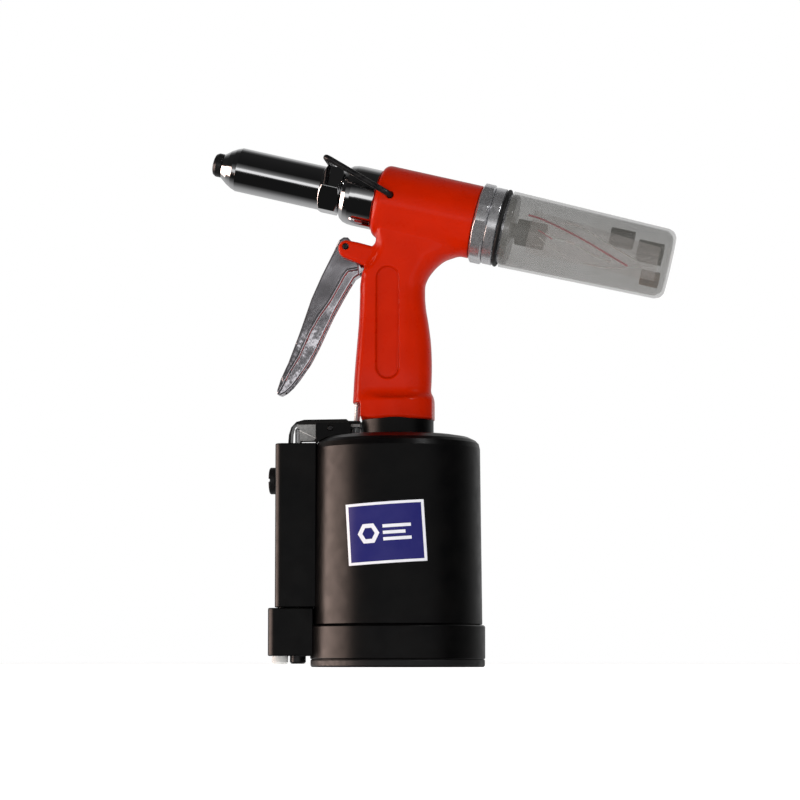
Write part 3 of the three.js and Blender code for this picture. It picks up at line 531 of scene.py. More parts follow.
def make_finishes():
    """Every material of the tool, by its slot's name or the name of a second finish in a slot."""
    paint = Finish("orange_paint", (0.47, 0.0125, 0.0002), 0.3, Coat_Weight=0.12, Coat_Roughness=0.05,
                   Specular_IOR_Level=0.05)
    paint.mottle((0.41, 0.010, 0.0002), 0.5, 14)
    paint.rough(0.26, 0.36, 5)
    paint.grain(0.02, 0.4, 2.2, 0.0)

    chrome = Finish("chrome", (0.72, 0.72, 0.73), 0.05, 1.0)
    chrome.rough(0.035, 0.11, 9, 5)
    chrome.grain(0.004, 0.3, 0.35, 2.0, (6, 1, 1))

    cast = Finish("cast_chrome", (0.64, 0.62, 0.66), 0.1, 0.93)
    cast.rough(0.08, 0.2, 6, 4)
    low = cast.nodes.new("ShaderNodeSeparateXYZ")
    cast.links.new(cast.place, low.inputs["Vector"])
    worn = cast.spread(low.outputs["Z"], 1.0, 0.1, 0.185, 0.215)
    waves = cast.nodes.new("ShaderNodeMath")
    waves.operation = "MULTIPLY"
    cast.links.new(cast.noise(4.5, 2.0, (0.7, 0.7, 1.6)), waves.inputs[0])
    cast.links.new(worn, waves.inputs[1])
    cast.bump(waves.outputs["Value"], 1.3, 0.6)
    cast.grain(2.2, 0.5, 16, 0.0)

    steel = Finish("steel", (0.60, 0.60, 0.61), 0.3, 0.8)
    steel.rough(0.24, 0.4, 3)
    steel.grain(0.01, 0.5, 0.3, 2.0, (1, 1, 4))

    dark = Finish("dark_steel", (0.018, 0.018, 0.020), 0.3, 0.75)
    dark.mottle((0.06, 0.058, 0.055), 0.5, 4)
    dark.rough(0.25, 0.42, 2)

    aluminium = Finish("aluminium", (0.68, 0.68, 0.70), 0.24, 0.85, Anisotropic=0.4)
    aluminium.rough(0.2, 0.32, 2.5)
    aluminium.grain(0.003, 0.2, 0.5, 1.0)

    black = Finish("black_anodised", (0.0012, 0.0012, 0.0014), 0.3, 0.0, Specular_IOR_Level=0.15)
    black.mottle((0.003, 0.0027, 0.0026), 0.8, 18)
    black.rough(0.29, 0.37, 7, 4)
    black.grain(0.012, 0.45, 0.5, 2.0, (12, 12, 1))
    # Painted highlight: a lighter brownish tint along the outer edges, picked out by pointiness.
    black.tint((0.06, 0.055, 0.05), black.spread(black.pointiness(), 0, 0.4, 0.58, 0.75))

    # Near-white finish for the wire on the lever's folded edge: a painted highlight.
    fold = Finish("fold_painted_highlight", (0.85, 0.84, 0.82), 0.35, 0.3)
    fold.rough(0.3, 0.45, 2)

    zinc = Finish("zinc_plate", (0.40, 0.40, 0.39), 0.45, 0.6)
    zinc.mottle((0.22, 0.22, 0.22), 0.8, 0.8, 4)
    zinc.grain(0.05, 0.6, 0.5, 3)

    rubber = Finish("rubber", (0.006, 0.006, 0.0065), 0.5, Specular_IOR_Level=0.4)
    rubber.rough(0.42, 0.6, 4)
    rubber.grain(0.02, 0.5, 0.4, 2)

    frosted = Finish("frosted_plastic", (0.17, 0.167, 0.152), 0.3, Alpha=0.36, Coat_Weight=0.25,
                     Coat_Roughness=0.2)
    frosted.mottle((0.21, 0.21, 0.2), 0.7, 16)
    frosted.rough(0.26, 0.4, 8, 4)
    frosted.grain(0.05, 0.4, 4, 2, (3, 1, 1))

    film = Finish("clear_film", (0.80, 0.74, 0.72), 0.2, Alpha=0.3, Coat_Weight=0.2,
                  Coat_Roughness=0.15)
    film.rough(0.08, 0.2, 3, 4)
    film.grain(0.4, 0.3, 9, 1.0)

    # White for the bag's lip, which is its own colour, and for the fold lines, which are painted highlights.
    fold = Finish("film_edge_and_fold_highlight", (0.9, 0.8, 0.78), 0.3)
    fold.mottle((0.8, 0.85, 0.83), 1, 8)

    seal = Finish("zip_red", (0.62, 0.03, 0.08), 0.4)
    seal.mottle((0.62, 0.16, 0.2), 0.8, 6)

    brass = Finish("brass", (0.36, 0.19, 0.11), 0.35, 0.8)
    brass.mottle((0.2, 0.12, 0.08), 0.7, 3)

    white = Finish("white_plastic", (0.82, 0.82, 0.80), 0.55)
    white.grain(0.05, 0.8, 0.5, 2)
    white.mottle((0.7, 0.7, 0.67), 0.5, 2)

    vinyl = Finish("label_vinyl", (0.010, 0.010, 0.120), 0.32, Coat_Weight=0.05, Coat_Roughness=0.15,
                   Specular_IOR_Level=0.25)
    vinyl.mottle((0.018, 0.017, 0.13), 0.7, 9)
    vinyl.grain(0.01, 0.4, 1.5, 2)

    print_white = Finish("label_white", (0.80, 0.80, 0.84), 0.35, Coat_Weight=0.3,
                         Coat_Roughness=0.15)
    print_white.mottle((0.72, 0.72, 0.78), 0.6, 5)


# ---------------- the orange handle

# The grip's front, rear, half width and the end of its flat side, as (height, place) points.
GRIP_FRONT = curve([
    (140, -25.6), (151, -25.6), (156, -25.4), (165, -24.9), (179, -23.8), (197.6, -22.3), (212, -21.7),
    (222, -21.3), (227, -20.2), (231, -16.5), (236, -13.2), (243, -11.7), (249, -12.8), (256, -12.5),
])
GRIP_REAR = curve([
    (140, 19.6), (150.7, 19.4), (155.4, 19.1), (163, 19.5), (172.7, 19.7), (187.8, 19.0), (197, 17.8),
    (206.4, 16.3), (214, 15.8), (221, 16.4), (224.5, 18.0), (227.9, 20.5), (231.4, 24.0),
    (234.8, 29.5), (236.6, 35.0), (240, 40.0), (256, 42.0),
])
GRIP_HALF = curve([
    (140, 15.0), (158, 15.0), (170, 15.6), (190, 15.4), (205, 14.6), (220, 14.2), (232, 14.2),
    (256, 14.6),
])
GRIP_FLAT_END = curve([
    (140, 6.0), (160, 4.5), (175, 3.5), (205, 3.5), (218, 4.5), (226, 8.0), (234, 11.0),
    (245, 14.0), (256, 18.0),
])
LUG = [
    (-33.6, 239.4), (-33.6, 242.2), (-32.0, 244.6), (-29.4, 245.5), (-22.0, 244.0), (-14.0, 241.7),
    (-11.9, 243.0), (-6.0, 250.0), (-4.0, 224.0), (-16.9, 227.7), (-18.6, 230.3), (-30.6, 235.5),
    (-32.8, 237.2),
]
TRIGGER_PIN = (-29.4, 241.6)
PANEL = {"x": -4.5, "low": 171.0, "high": 222.6, "radius": 6.5, "depth": 1.1}


def handle_field(x, y, z):
    """The cast handle: head barrel, grip, trigger lugs and bottom collar, with their bores."""
    bottom = cad_box("handle_casting")[0][2]
    s = (x - HEAD.point[0]) * HEAD.along[0] + (z - HEAD.point[2]) * HEAD.along[2]
    h = (x - HEAD.point[0]) * HEAD.up[0] + (z - HEAD.point[2]) * HEAD.up[2]
    radius, bore, ram_bore, front, rear = 21.3, 15.55, 7.3, -12.0, 46.8
    centre = (front + rear) / 2
    past = np.abs(s - centre) - (rear - front) / 2
    round_head = np.hypot(y, h)
    edge = np.where(s < centre, 4.6, 0.7)
    barrel = capped(round_head - radius, past, edge)

    fore, aft, half = GRIP_FRONT(z), GRIP_REAR(z), GRIP_HALF(z)
    power, front_depth, scale = 2.3, 6.0, 8.0
    flat_from, flat_to = fore + front_depth, GRIP_FLAT_END(z)
    run = np.maximum(flat_from - x, 0) / front_depth + np.maximum(x - flat_to, 0) / (aft - flat_to)
    grip = ((run ** power + (np.abs(y) / half) ** power) ** (1 / power) - 1) * scale
    grip = meet(grip, 143.2 - z, 0.6)
    grip = meet(grip, z - 254.0, 0.6)

    collar = capped(np.hypot(x, y) - 20.7, np.maximum(bottom - z, z - 151.8), 0.5)
    lug = meet(polygon_field(LUG, x, z), np.abs(y) - 10.2, 2.2)

    body = join(barrel, grip, 1.6)
    body = join(body, lug, 4.5)
    foot = join(body, collar, 7.5)
    foot = meet(foot, x - 20.75, 0.8)
    foot = meet(foot, -25.6 - x, 0.8)
    body = np.where(z < 175, foot, body)

    notch = meet(z - 150.8, x + 20.3, 0.8)
    body = cut(body, notch, 0.8)

    along = np.hypot(x - PANEL["x"], z - np.clip(z, PANEL["low"], PANEL["high"])) - PANEL["radius"]
    skin = grip + PANEL["depth"]
    outside = np.abs(y) - 8.0
    panel = meet(meet(along, -skin, 0.8), -outside, 0.5)
    body = cut(body, panel, 1.0)

    body = cut(body, meet(round_head - bore, past - 2.0, 0.1), 0.5)
    body = cut(body, meet(np.hypot(x, y) - ram_bore, z - 226.0, 0.1), 0.4)
    slot = meet(meet(np.abs(y) - 6.9, x + 10.0, 0.6), meet(221.0 - z, z - 247.5, 0.1), 0.6)
    body = cut(body, slot, 0.7)
    body = cut(body, np.hypot(x - TRIGGER_PIN[0], z - TRIGGER_PIN[1]) - 1.9, 0.5)
    body = cut(body, np.hypot(s + 3.0, h - 1.8) - 2.0, 0.7)
    oil = meet(np.hypot(s - 24.0, h) - 3.2, 14.0 - y, 0.1)
    boss = capped(np.hypot(s - 24.0, h) - 6.4, np.maximum(15.0 - y, y - 21.5), 0.4)
    body = join(body, boss, 1.0)
    return cut(body, oil, 0.3)


def make_handle():
    low, high = cad_box("handle_casting")
    step, margin = 0.68, 2.3
    adopt(solid("handle_casting_body", handle_field, low - margin, high + margin, step), "handle_casting")


# ---------------- the trigger

TRIGGER_FRONT = [
    (-28.6, 247.6), (-31.0, 247.7), (-33.7, 246.0), (-36.8, 239.3), (-43.8, 225.3), (-49.7, 211.9),
    (-56.0, 193.3), (-63.0, 174.7), (-67.3, 165.4), (-69.4, 158.8), (-69.2, 156.6), (-67.6, 156.0),
]
TRIGGER_REAR = [
    (-64.6, 157.6), (-61.1, 160.7), (-57.3, 165.3), (-50.8, 174.6), (-45.9, 183.8), (-41.6, 193.1),
    (-37.2, 202.4), (-32.1, 211.7), (-28.4, 218.1), (-24.9, 223.6), (-20.6, 226.6), (-13.6, 227.0),
    (-13.6, 229.3), (-20.6, 229.5), (-22.5, 233.0), (-24.4, 239.0), (-25.4, 244.0),
]
RIM = [
    (-12.0, 229.0), (-20.9, 228.9), (-28.3, 227.8), (-30.5, 224.9), (-35.8, 215.3), (-38.8, 210.1),
    (-44.7, 202.0), (-49.9, 193.2), (-56.6, 178.3), (-62.6, 168.4), (-67.2, 159.6),
]


def trigger_field(x, y, z):
    """A cast lever: a wide crowned front, a narrower web behind the rim, and a hollow at the back."""
    outline = polygon_field(TRIGGER_FRONT + TRIGGER_REAR, x, z)
    in_front = [(-8.0, 229.0)] + RIM + [(-80.0, 140.0), (-80.0, 260.0), (-8.0, 260.0)]
    ahead = polygon_field(in_front, x, z)
    half = 6.2 - 1.3 * np.clip(-ahead / 12, 0, 1) ** 2
    front = meet(meet(outline, np.abs(y) - half, 1.6), ahead, 0.5)
    rim = meet(np.abs(ahead + 0.4) - 0.7, meet(outline, np.abs(y) - 6.5, 0.5), 0.9)
    web = meet(outline, np.abs(y) - 5.6, 1.2)
    body = join(join(front, web, 0.5), rim, 0.4)
    deep = outline + 2.0
    hollow = meet(meet(deep, np.abs(y) - 3.3, 0.6), -(ahead - 0.2), 0.5)
    back = meet(meet(outline - 3.0, -(ahead - 2.4), 0.5), meet(np.abs(y) - 3.3, z - 221.0, 0.6), 0.5)
    body = cut(body, join(hollow, back, 0.3), 0.5)
    level = meet(220.0 - z, z - 232.0, 0.1)
    body = cut(body, meet(meet(-22.0 - x, np.abs(y) - 2.3, 0.3), level, 0.1), 0.3)
    body = cut(body, meet(meet(-22.4 - x, 5.0 - np.abs(y), 0.3), level, 0.1), 0.3)
    return cut(body, np.hypot(x - TRIGGER_PIN[0], z - TRIGGER_PIN[1]) - 1.8, 0.3)


def make_trigger():
    low, high = cad_box("trigger")
    step, margin = 0.42, 1.7
    piece = solid("trigger_lever", trigger_field, low - margin, high + margin, step)
    adopt(piece, "trigger", "cast_chrome")


# ---------------- nose and tail

def corner_angle(node, line):
    """Where a six-sided node has a corner, about a line."""
    across, up, _ = line.local(cad_points(node))
    reach = np.hypot(across, up)
    angle = np.arctan2(up, across)[reach > reach.max() - 0.02]
    return float(np.angle(np.exp(6j * angle).mean()) / 6)


def spanner_flats(node, apothem):
    """A turned CAD node on the head's axis, with six flats cut into it."""
    outline, closed = section(node, HEAD)
    profile = densified(rounded(outline, 0.35, closed), closed, 0.5)
    flats = (apothem, 6, corner_angle(node, HEAD))
    adopt(lathe(node + "_turned", profile, HEAD, closed, 240, flats), node)


def o_ring(node, line):
    """A round ring, from the CAD ring's size."""
    axis = line.centred_on(node)
    across, up, along = axis.local(cad_points(node))
    tube = (along.max() - along.min()) / 2
    middle = (along.max() + along.min()) / 2
    ring = np.hypot(across, up).max() - tube
    turns = np.linspace(0, TURN, 21)[:-1]
    profile = np.column_stack([middle + tube * np.cos(turns), ring + tube * np.sin(turns)])
    adopt(lathe(node + "_ring", profile, axis, True), node)


def make_nose():
    turned("nosepiece", HEAD, 0.5)
    spanner_flats("nose_housing", 13.0)
    turned("frame_cap", HEAD, 0.5)
    turned("guide_pipe", HEAD, 0.25)


def make_tail():
    nut_radius = 23.3
    spanner_flats("tail_nut", nut_radius * math.cos(math.pi / 10))
    turned("collector_mount", HEAD, 0.4)
    o_ring("collector_seal", HEAD)


def make_bottle():
    round_shell("collector_bottle_moulded", "collector_bottle", HEAD, 2.6, 128)
    for n in (1, 2, 3):
        turned(f"spare_nosepiece_{n}", HEAD, 0.4)


# Each line on the bag: its name, radius, finish, and (station, height) points along the head's axis.
BAG_LINES = [
    ("bag_zip", 0.6, "zip_red",
     [(77.0, 8.6), (84.0, 8.0), (97.0, 5.0), (112.0, 0.8), (126.0, -3.8), (138.0, -7.6)]),
    ("bag_zip_end", 0.4, "zip_red", [(84.5, 1.0), (89.0, -0.6), (93.0, -2.2)]),
    ("bag_lip", 0.45, "film_edge_and_fold_highlight",
     [(99.0, 9.4), (108.0, 8.2), (124.0, 2.4), (139.0, -2.6), (143.0, -3.6)]),
    # The three fold lines are painted highlights: bright white wires where the folds of the clear film catch the
    # light.
    ("bag_fold_highlight_1", 0.7, "film_edge_and_fold_highlight",
     [(89.0, 0.0), (96.0, -1.6), (106.0, -2.2), (118.0, -6.0), (128.0, -7.6)]),
    ("bag_fold_highlight_2", 0.35, "film_edge_and_fold_highlight", [(86.0, -3.0), (92.0, -6.4), (100.0, -9.6)]),
    ("bag_fold_highlight_3", 0.35, "film_edge_and_fold_highlight",
     [(112.0, -11.4), (126.0, -11.0), (138.0, -8.6), (146.0, -6.4)]),
]


def sheet(name, front, back):
    """A thin closed piece between two grids of points."""
    rows, cols = front.shape[:2]
    points = np.concatenate([front.reshape(-1, 3), back.reshape(-1, 3)])
    one = np.arange(rows * cols).reshape(rows, cols)
    two = one + rows * cols
    faces = []
    for i in range(rows - 1):
        for j in range(cols - 1):
            faces.append([one[i, j], one[i + 1, j], one[i + 1, j + 1], one[i, j + 1]])
            faces.append([two[i, j], two[i, j + 1], two[i + 1, j + 1], two[i + 1, j]])
    rim = ([(0, j) for j in range(cols)] + [(i, cols - 1) for i in range(1, rows)]
           + [(rows - 1, j) for j in range(cols - 2, -1, -1)] + [(i, 0) for i in range(rows - 2, 0, -1)])
    for here, there in zip(rim, rim[1:] + rim[:1]):
        faces.append([one[here], one[there], two[there], two[here]])
    return new_piece(name, points, outward(points, faces))


def make_bag():
    """A clear bag, folded once and pressed against the bottle's wall, with its zip along one side."""
    along = HEAD.local(cad_points("accessory_bag"))[2]
    s0, s1 = along.min() + 1, along.max() - 1
    s, t = np.meshgrid(np.linspace(0, 1, 90), np.linspace(0, 1, 60), indexing="ij")
    station = s0 + (s1 - s0) * s
    height = 11.8 - 24.0 * t - 6.0 * (s - 0.2) * (1 - t)
    fold = (0.9 * np.sin(9 * s + 7 * t) + 0.7 * np.abs(np.sin(13 * s - 17 * t + 1.3 * np.sin(8 * t)))
            + 0.5 * np.sin(31 * t + 12 * s) + 0.4 * np.abs(np.sin(41 * s + 9 * t)))
    wall = 18.0
    depth = -np.sqrt(np.maximum(wall ** 2 - height ** 2, 16.0)) + 1.5
    margin = np.minimum(np.minimum(s, 1 - s) * 6, np.minimum(t, 1 - t) * 5).clip(0, 1)
    outer = depth + 1.2 + fold * 0.8
    inner = outer + 0.4 + 2.6 * margin * (0.6 + 0.4 * np.sin(15 * s + 21 * t))
    bag = sheet("accessory_bag_film", HEAD.place(outer, height, station),
                HEAD.place(inner, height, station))
    adopt(bag, "accessory_bag")
    for name, width, finish, route in BAG_LINES:
        places = [HEAD.place(1.0 - math.sqrt(wall ** 2 - h ** 2), h, station) for station, h in route]
        line = wire(name, smooth_route(np.array(places), 30), width, 10)
        detail(line, "accessory_bag", finish)


def smooth_route(points, count):
    """A smooth line through the points, by Catmull-Rom pieces."""
    padded = np.vstack([2 * points[0] - points[1], points, 2 * points[-1] - points[-2]])
    result = []
    for i in range(1, len(padded) - 2):
        a, b, c, d = padded[i - 1:i + 3]
        for t in np.linspace(0, 1, count // (len(points) - 1), endpoint=False):
            result.append(0.5 * (2 * b + (c - a) * t + (2 * a - 5 * b + 4 * c - d) * t ** 2
                                 + (3 * b - a - 3 * c + d) * t ** 3))
    result.append(points[-1])
    return np.array(result)


def stitched(name, rings):
    """A closed piece through a row of rings of points, with flat ends."""
    count = len(rings[0])
    points = np.concatenate(rings)
    faces = [list(range(count))[::-1], list(range(len(points) - count, len(points)))]
    for start in range(0, len(points) - count, count):
        for k in range(count):
            here, there = start + k, start + (k + 1) % count
            faces.append([here, there, there + count, here + count])
    return new_piece(name, points, outward(points, faces))


def wire(name, route, radius, sides):
    """A round wire along a route, with domed ends."""
    tangents = np.gradient(route, axis=0)
    tangents /= np.linalg.norm(tangents, axis=1)[:, None]
    across = unit(np.cross(tangents[0], (0.3, 0.5, 0.8)))
    theta = np.arange(sides) * TURN / sides
    rings = []
    dome = [(-0.75, 0.45), (-0.45, 0.8), (-0.15, 0.97)]
    for i, (centre, tangent) in enumerate(zip(route, tangents)):
        across = unit(across - tangent * (across @ tangent))
        other = np.cross(tangent, across)
        circle = np.cos(theta)[:, None] * across + np.sin(theta)[:, None] * other
        if i == 0:
            rings += [centre + radius * (tangent * push + circle * size) for push, size in dome]
        rings.append(centre + circle * radius)
        if i == len(route) - 1:
            rings += [centre + radius * (circle * size - tangent * push) for push, size in dome[::-1]]
    return stitched(name, rings)


def make_bail():
    """One bent wire: two pivot ends in the head, two legs, and a bar that rests on the nose."""
    radius, bend, pivot_end = 1.7, 3.6, 18.4
    across, up, along = HEAD.local(cad_points("hanger_bail"))
    _, pivot_h, pivot_s = HEAD.local(np.array(JOINT["bail_swing"]["pos_m"]) / MM)
    half = across.max() - radius
    tip_s = along.min() + radius
    tip_h = up[along < tip_s + 1].mean()
    reach = math.hypot(tip_s - pivot_s, tip_h - pivot_h)

    def at(distance, y):
        """The point of the bail's plane at a distance from the pivots."""
        t = distance / reach
        return HEAD.place(y, pivot_h + (tip_h - pivot_h) * t, pivot_s + (tip_s - pivot_s) * t)

    def corner(d, y, d_way, y_way):
        """A quarter bend at a corner, from one way to the other."""
        turns = np.linspace(0, math.pi / 2, 7)
        return [at(d + d_way[0] * bend * (1 - math.sin(a)) + d_way[1] * bend * (1 - math.cos(a)),
                   y + y_way[0] * bend * (1 - math.sin(a)) + y_way[1] * bend * (1 - math.cos(a)))
                for a in turns]

    route = [at(0, -pivot_end)] + corner(0, -half, (0, 1), (1, 0))
    route += corner(reach, -half, (-1, 0), (0, 1))
    route += corner(reach, half, (0, -1), (-1, 0))
    route += corner(0, half, (1, 0), (0, -1)) + [at(0, pivot_end)]
    adopt(wire("hanger_bail_wire", np.array(route), radius, 20), "hanger_bail")


# ---------------- cylinder, block and base

def slab(name, outline, low, high, bevel):
    """An outline in plan between two heights, with its top and bottom edges rounded."""
    outline = np.array(outline, float)
    ahead = np.roll(outline, -1, axis=0) - outline
    behind = outline - np.roll(outline, 1, axis=0)
    normal = np.array([unit(unit(a) + unit(b))[::-1] * (1, -1) for a, b in zip(ahead, behind)])
    turns = np.linspace(0, math.pi / 2, 5)
    levels = [(low + bevel * (1 - math.sin(a)), bevel * (1 - math.cos(a))) for a in turns[::-1]]
    support = bevel * 1.6
    levels += [(low + support, 0.0), (high - support, 0.0)]
    levels += [(high - bevel * (1 - math.sin(a)), bevel * (1 - math.cos(a))) for a in turns]
    return stitched(name, [np.column_stack([outline - normal * inset, np.full(len(outline), z)])
                           for z, inset in levels])


def block_plan(front, rear, half, radius, edge):
    """The plan of a block: large rounded front corners, small ones at the rear."""
    spots = np.array([(front, -half), (rear, -half), (rear, half), (front, half)])
    plan = []
    for i, (spot, r) in enumerate(zip(spots, (radius, edge, edge, radius))):
        back, ahead = unit(spots[i - 1] - spot), unit(spots[(i + 1) % 4] - spot)
        centre = spot + (back + ahead) * r
        for a in np.linspace(0, math.pi / 2, 9 if r > 1 else 5):
            plan.append(centre - ahead * r * math.cos(a) - back * r * math.sin(a))
    return plan


def carve(piece, *cutters):
    """Cuts boxes, each given by its two corners in millimetres, out of a piece."""
    for low, high in cutters:
        bpy.ops.mesh.primitive_cube_add(size=1)
        tool = bpy.context.object
        tool.scale = (Vector(high) - Vector(low)) * MM
        tool.location = (Vector(high) + Vector(low)) * MM / 2
        bpy.context.view_layer.update()
        boolean = piece.modifiers.new("carve", "BOOLEAN")
        boolean.operation = "DIFFERENCE"
        boolean.solver = "EXACT"
        boolean.object = tool
        carved = piece.evaluated_get(bpy.context.evaluated_depsgraph_get())
        shape = bpy.data.meshes.new_from_object(carved)
        piece.modifiers.clear()
        piece.data = shape
        bpy.data.objects.remove(tool)


def flat_shaded_caps(piece):
    """Keeps flat faces flat beside their rounded edges."""
    piece.data.set_sharp_from_angle(angle=math.radians(40))
    weighted = piece.modifiers.new("weighted_normals", "WEIGHTED_NORMAL")
    weighted.keep_sharp = True
    weighted.weight = 80
    return piece


def make_cylinder():
    """The shell, the valve block on its front, and the web that joins them."""
    round_shell("cylinder_shell", "cylinder_body", UPRIGHT, 0.5, ROUND, X)
    front = cad_box("cylinder_body")[0][0]
    block = slab("valve_block", block_plan(front, -45.2, 16.0, 5.0, 0.7), 33.9, 127.6, 0.6)
    lever_pocket = (-65.0, -6.0, 121.5), (-47.5, 6.0, 130.0)
    spool_bore = (-62.0, -4.4, 60.0), (-53.0, 4.4, 122.0)
    carve(block, lever_pocket, spool_bore)
    detail(flat_shaded_caps(block), "cylinder_body")
    web = slab("valve_block_web", block_plan(-50.0, -44.8, 13.6, 0.8, 0.8), 34.5, 127.0, 0.4)
    detail(web, "cylinder_body")


def make_base():
    """The base cover with its block, the foot, the collar and the screws."""
    round_shell("base_cover_ring", "base_cover", UPRIGHT, 0.6, ROUND, X)
    low, high = cad_box("base_cover")
    block = slab("base_block", block_plan(low[0], -46.6, 17.5, 6.0, 0.7), 6.3, high[2], 0.7)
    detail(flat_shaded_caps(block), "base_cover")
    web = slab("base_block_web", block_plan(-52.0, -45.5, 15.0, 0.8, 0.8), 7.0, 23.6, 0.4)
    detail(web, "base_cover")
    turned("foot_pad", UPRIGHT, 0.6)
    seam = [(4.1, 40.0), (4.1, 49.2), (4.8, 49.2), (4.8, 40.0)]
    detail(lathe("foot_seam", seam, UPRIGHT, True, ROUND), "base_cover")
    turned("neck_collar", UPRIGHT, 0.5)
    for node in ("valve_plug", "muffler"):
        turned(node, UPRIGHT, 0.3, segments=64)
    for n in (1, 2):
        turned(f"cover_screw_{n}", UPRIGHT, 0.25, segments=48)
        turned(f"bracket_screw_{n}", UPRIGHT, 0.2, segments=48)


def plug_field(x, y, z):
    """A slotted plug: a domed disc with a stem that goes into the fitting."""
    low, high = cad_box("inlet_plug")
    middle = (low[2] + high[2]) / 2
    out = np.hypot(y, z - middle)
    face = low[0]
    disc = capped(out - 7.7, np.abs(x - face - 2.15) - 2.15, 0.9)
    stem = capped(out - 4.1, np.abs(x - face - 6.4) - 4.0, 0.3)
    slot = meet(np.abs(z - middle) - 0.8, x - face - 0.8, 0.3)
    return cut(join(disc, stem, 0.5), slot, 0.3)


def make_inlet():
    turned("inlet_fitting", FORWARD, 0.3)
    low, high = cad_box("inlet_plug")
    adopt(solid("inlet_plug_moulded", plug_field, low - 1, high + 1, 0.3), "inlet_plug")


# ---------------- lever and link

def make_linkage():
    """The valve lever with its cover and bracket, the pins, the oil screw, and the threaded link."""
    refined("valve_lever", 0.22)
    # A thin bright wire along the lever's folded edge: a painted highlight, not a separate part.
    fold = np.array([(-56.4, -5.05, 135.5), (-51.6, -5.05, 133.3), (-46.9, -5.05, 131.1)])
    detail(wire("lever_fold_highlight", fold, 0.24, 10), "valve_lever", "fold_painted_highlight")
    refined("lever_cover", 0.3)
    refined("lever_bracket", 0.35)
    for node in ("lever_pin", "trigger_pin"):
        turned(node, SIDEWAYS, 0.3, segments=48)
    turned("oil_screw", HEAD_SIDE, 0.3, flats=6)
    turned("oil_screw_washer", HEAD_SIDE, 0.15)
    along = unit(JOINT["link_slide"]["axis"])
    link = Line((0, 0, 0), np.cross(Y, along), Y)
    axis = link.centred_on("trigger_link")
    profile, _ = section("trigger_link", axis)
    foot, top = profile[:, 0].min(), profile[:, 0].max()
    pitch, depth, radius = 0.8, 0.28, 1.75
    outline = [(foot, 0), (foot, radius - 0.4), (foot + 0.4, radius)]
    for k in range(26):
        start = foot + 0.6 + k * pitch
        outline += [(start, radius), (start + 0.15, radius), (start + 0.4, radius - depth),
                    (start + 0.65, radius)]
    outline += [(top - 3.0, radius), (top - 2.9, 2.8), (top - 2.7, 3.05), (top - 1.4, 3.05),
                (top - 1.0, 2.8), (top - 0.1, 2.1), (top, 1.8), (top, 0)]
    adopt(lathe("trigger_link_rod", outline, axis, False, 48), "trigger_link")
    turned("link_nut", link, 0.2, flats=6)


HEAD_SIDE = Line((0, 0, 0), HEAD.along * -1, HEAD.up * -1)


# ---------------- label

def wrapped(u, v, lift):
    """A point of the label, from its place on the flat label, wrapped on the cylinder."""
    low, high = cad_box("label")
    middle_x, middle_z = -2.3, (low[2] + high[2]) / 2
    turn = math.radians(3.6)
    across = middle_x + u * math.cos(turn) - v * math.sin(turn)
    up = middle_z + u * math.sin(turn) + v * math.cos(turn)
    foot_z, foot_radius, top_z, top_radius = cad_box("cylinder_body")[0][2], 48.4, 124.5, 47.35
    draft = (top_radius - foot_radius) / (top_z - foot_z)
    radius = foot_radius + draft * (up - foot_z) + lift
    return np.stack([across, -np.sqrt(radius ** 2 - across ** 2), up], axis=-1)


def decal(name, u, v, low, high, finish):
    """A thin printed patch: a grid of places on the label, between two heights above the cylinder."""
    patch = sheet(name, wrapped(u, v, high), wrapped(u, v, low))
    patch.data.shade_flat()
    return detail(patch, "label", finish)


def rectangle(u0, u1, v0, v1, cols):
    """A grid of places on the flat label."""
    return np.meshgrid(np.linspace(u0, u1, cols), np.linspace(v0, v1, 3), indexing="ij")


def make_label():
    """A blue label with a white border, an outlined hexagon and three plain bars."""
    half_width, half_height, border = 22.1, 17.15, 1.5
    paper, ink, mark = 0.22, 0.26, 0.29
    grid = rectangle(-half_width, half_width, -half_height, half_height, 40)
    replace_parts(decal("label_base", *grid, 0.05, paper, "label_white"), "label")
    u, v = half_width - border, half_height - border
    decal("label_field", *rectangle(-u, u, -v, v, 40), paper, ink, "label_vinyl")
    theta = np.linspace(0, TURN, 61)[:-1]
    hexagon = flats_radius(theta, 1.0, 6, 0.0)
    for k in range(6):
        part = slice(k * 10, k * 10 + 11)
        ring_theta = np.append(theta, theta[0])[part]
        ring_reach = np.append(hexagon, hexagon[0])[part]
        u = np.stack([-9.6 + ring_reach * np.cos(ring_theta) * r for r in (3.1, 5.4)], axis=1)
        v = np.stack([ring_reach * np.sin(ring_theta) * r for r in (3.1, 5.4)], axis=1)
        decal(f"label_mark_{k + 1}", u, v, ink, mark, "label_white")
    for n, (v, reach) in enumerate(((3.6, 14.4), (0.0, 11.2), (-3.6, 14.4))):
        bar = rectangle(-1.4, reach, v - 0.9, v + 0.9, 16)
        decal(f"label_bar_{n + 1}", *bar, ink, mark, "label_white")


# ---------------- studio

def area_light(name, place, target, size, power, glossy=True):
    """A rectangular lamp that the camera doesn't see."""
    data = bpy.data.lights.new(name, "AREA")
    data.shape = "RECTANGLE"
    data.size, data.size_y = size
    data.energy = power
    light = linked(name, data)
    light.location = place
    light.rotation_euler = (Vector(target) - Vector(place)).to_track_quat("-Z", "Y").to_euler()
    light.visible_glossy = glossy
    light.visible_camera = False


def make_camera():
    """The photograph's point of view: low, in front, from well back."""
    data = bpy.data.cameras.new("camera")
    data.lens = 123.1
    data.sensor_width = 36.0
    data.clip_start = 0.01
    camera = linked("camera", data)
    camera.location = (0.1507, -1.562, 0.0033)
    target = Vector((0.0013, 0.0, 0.1532))
    camera.rotation_euler = (target - camera.location).to_track_quat("-Z", "Y").to_euler()
    bpy.context.scene.camera = camera


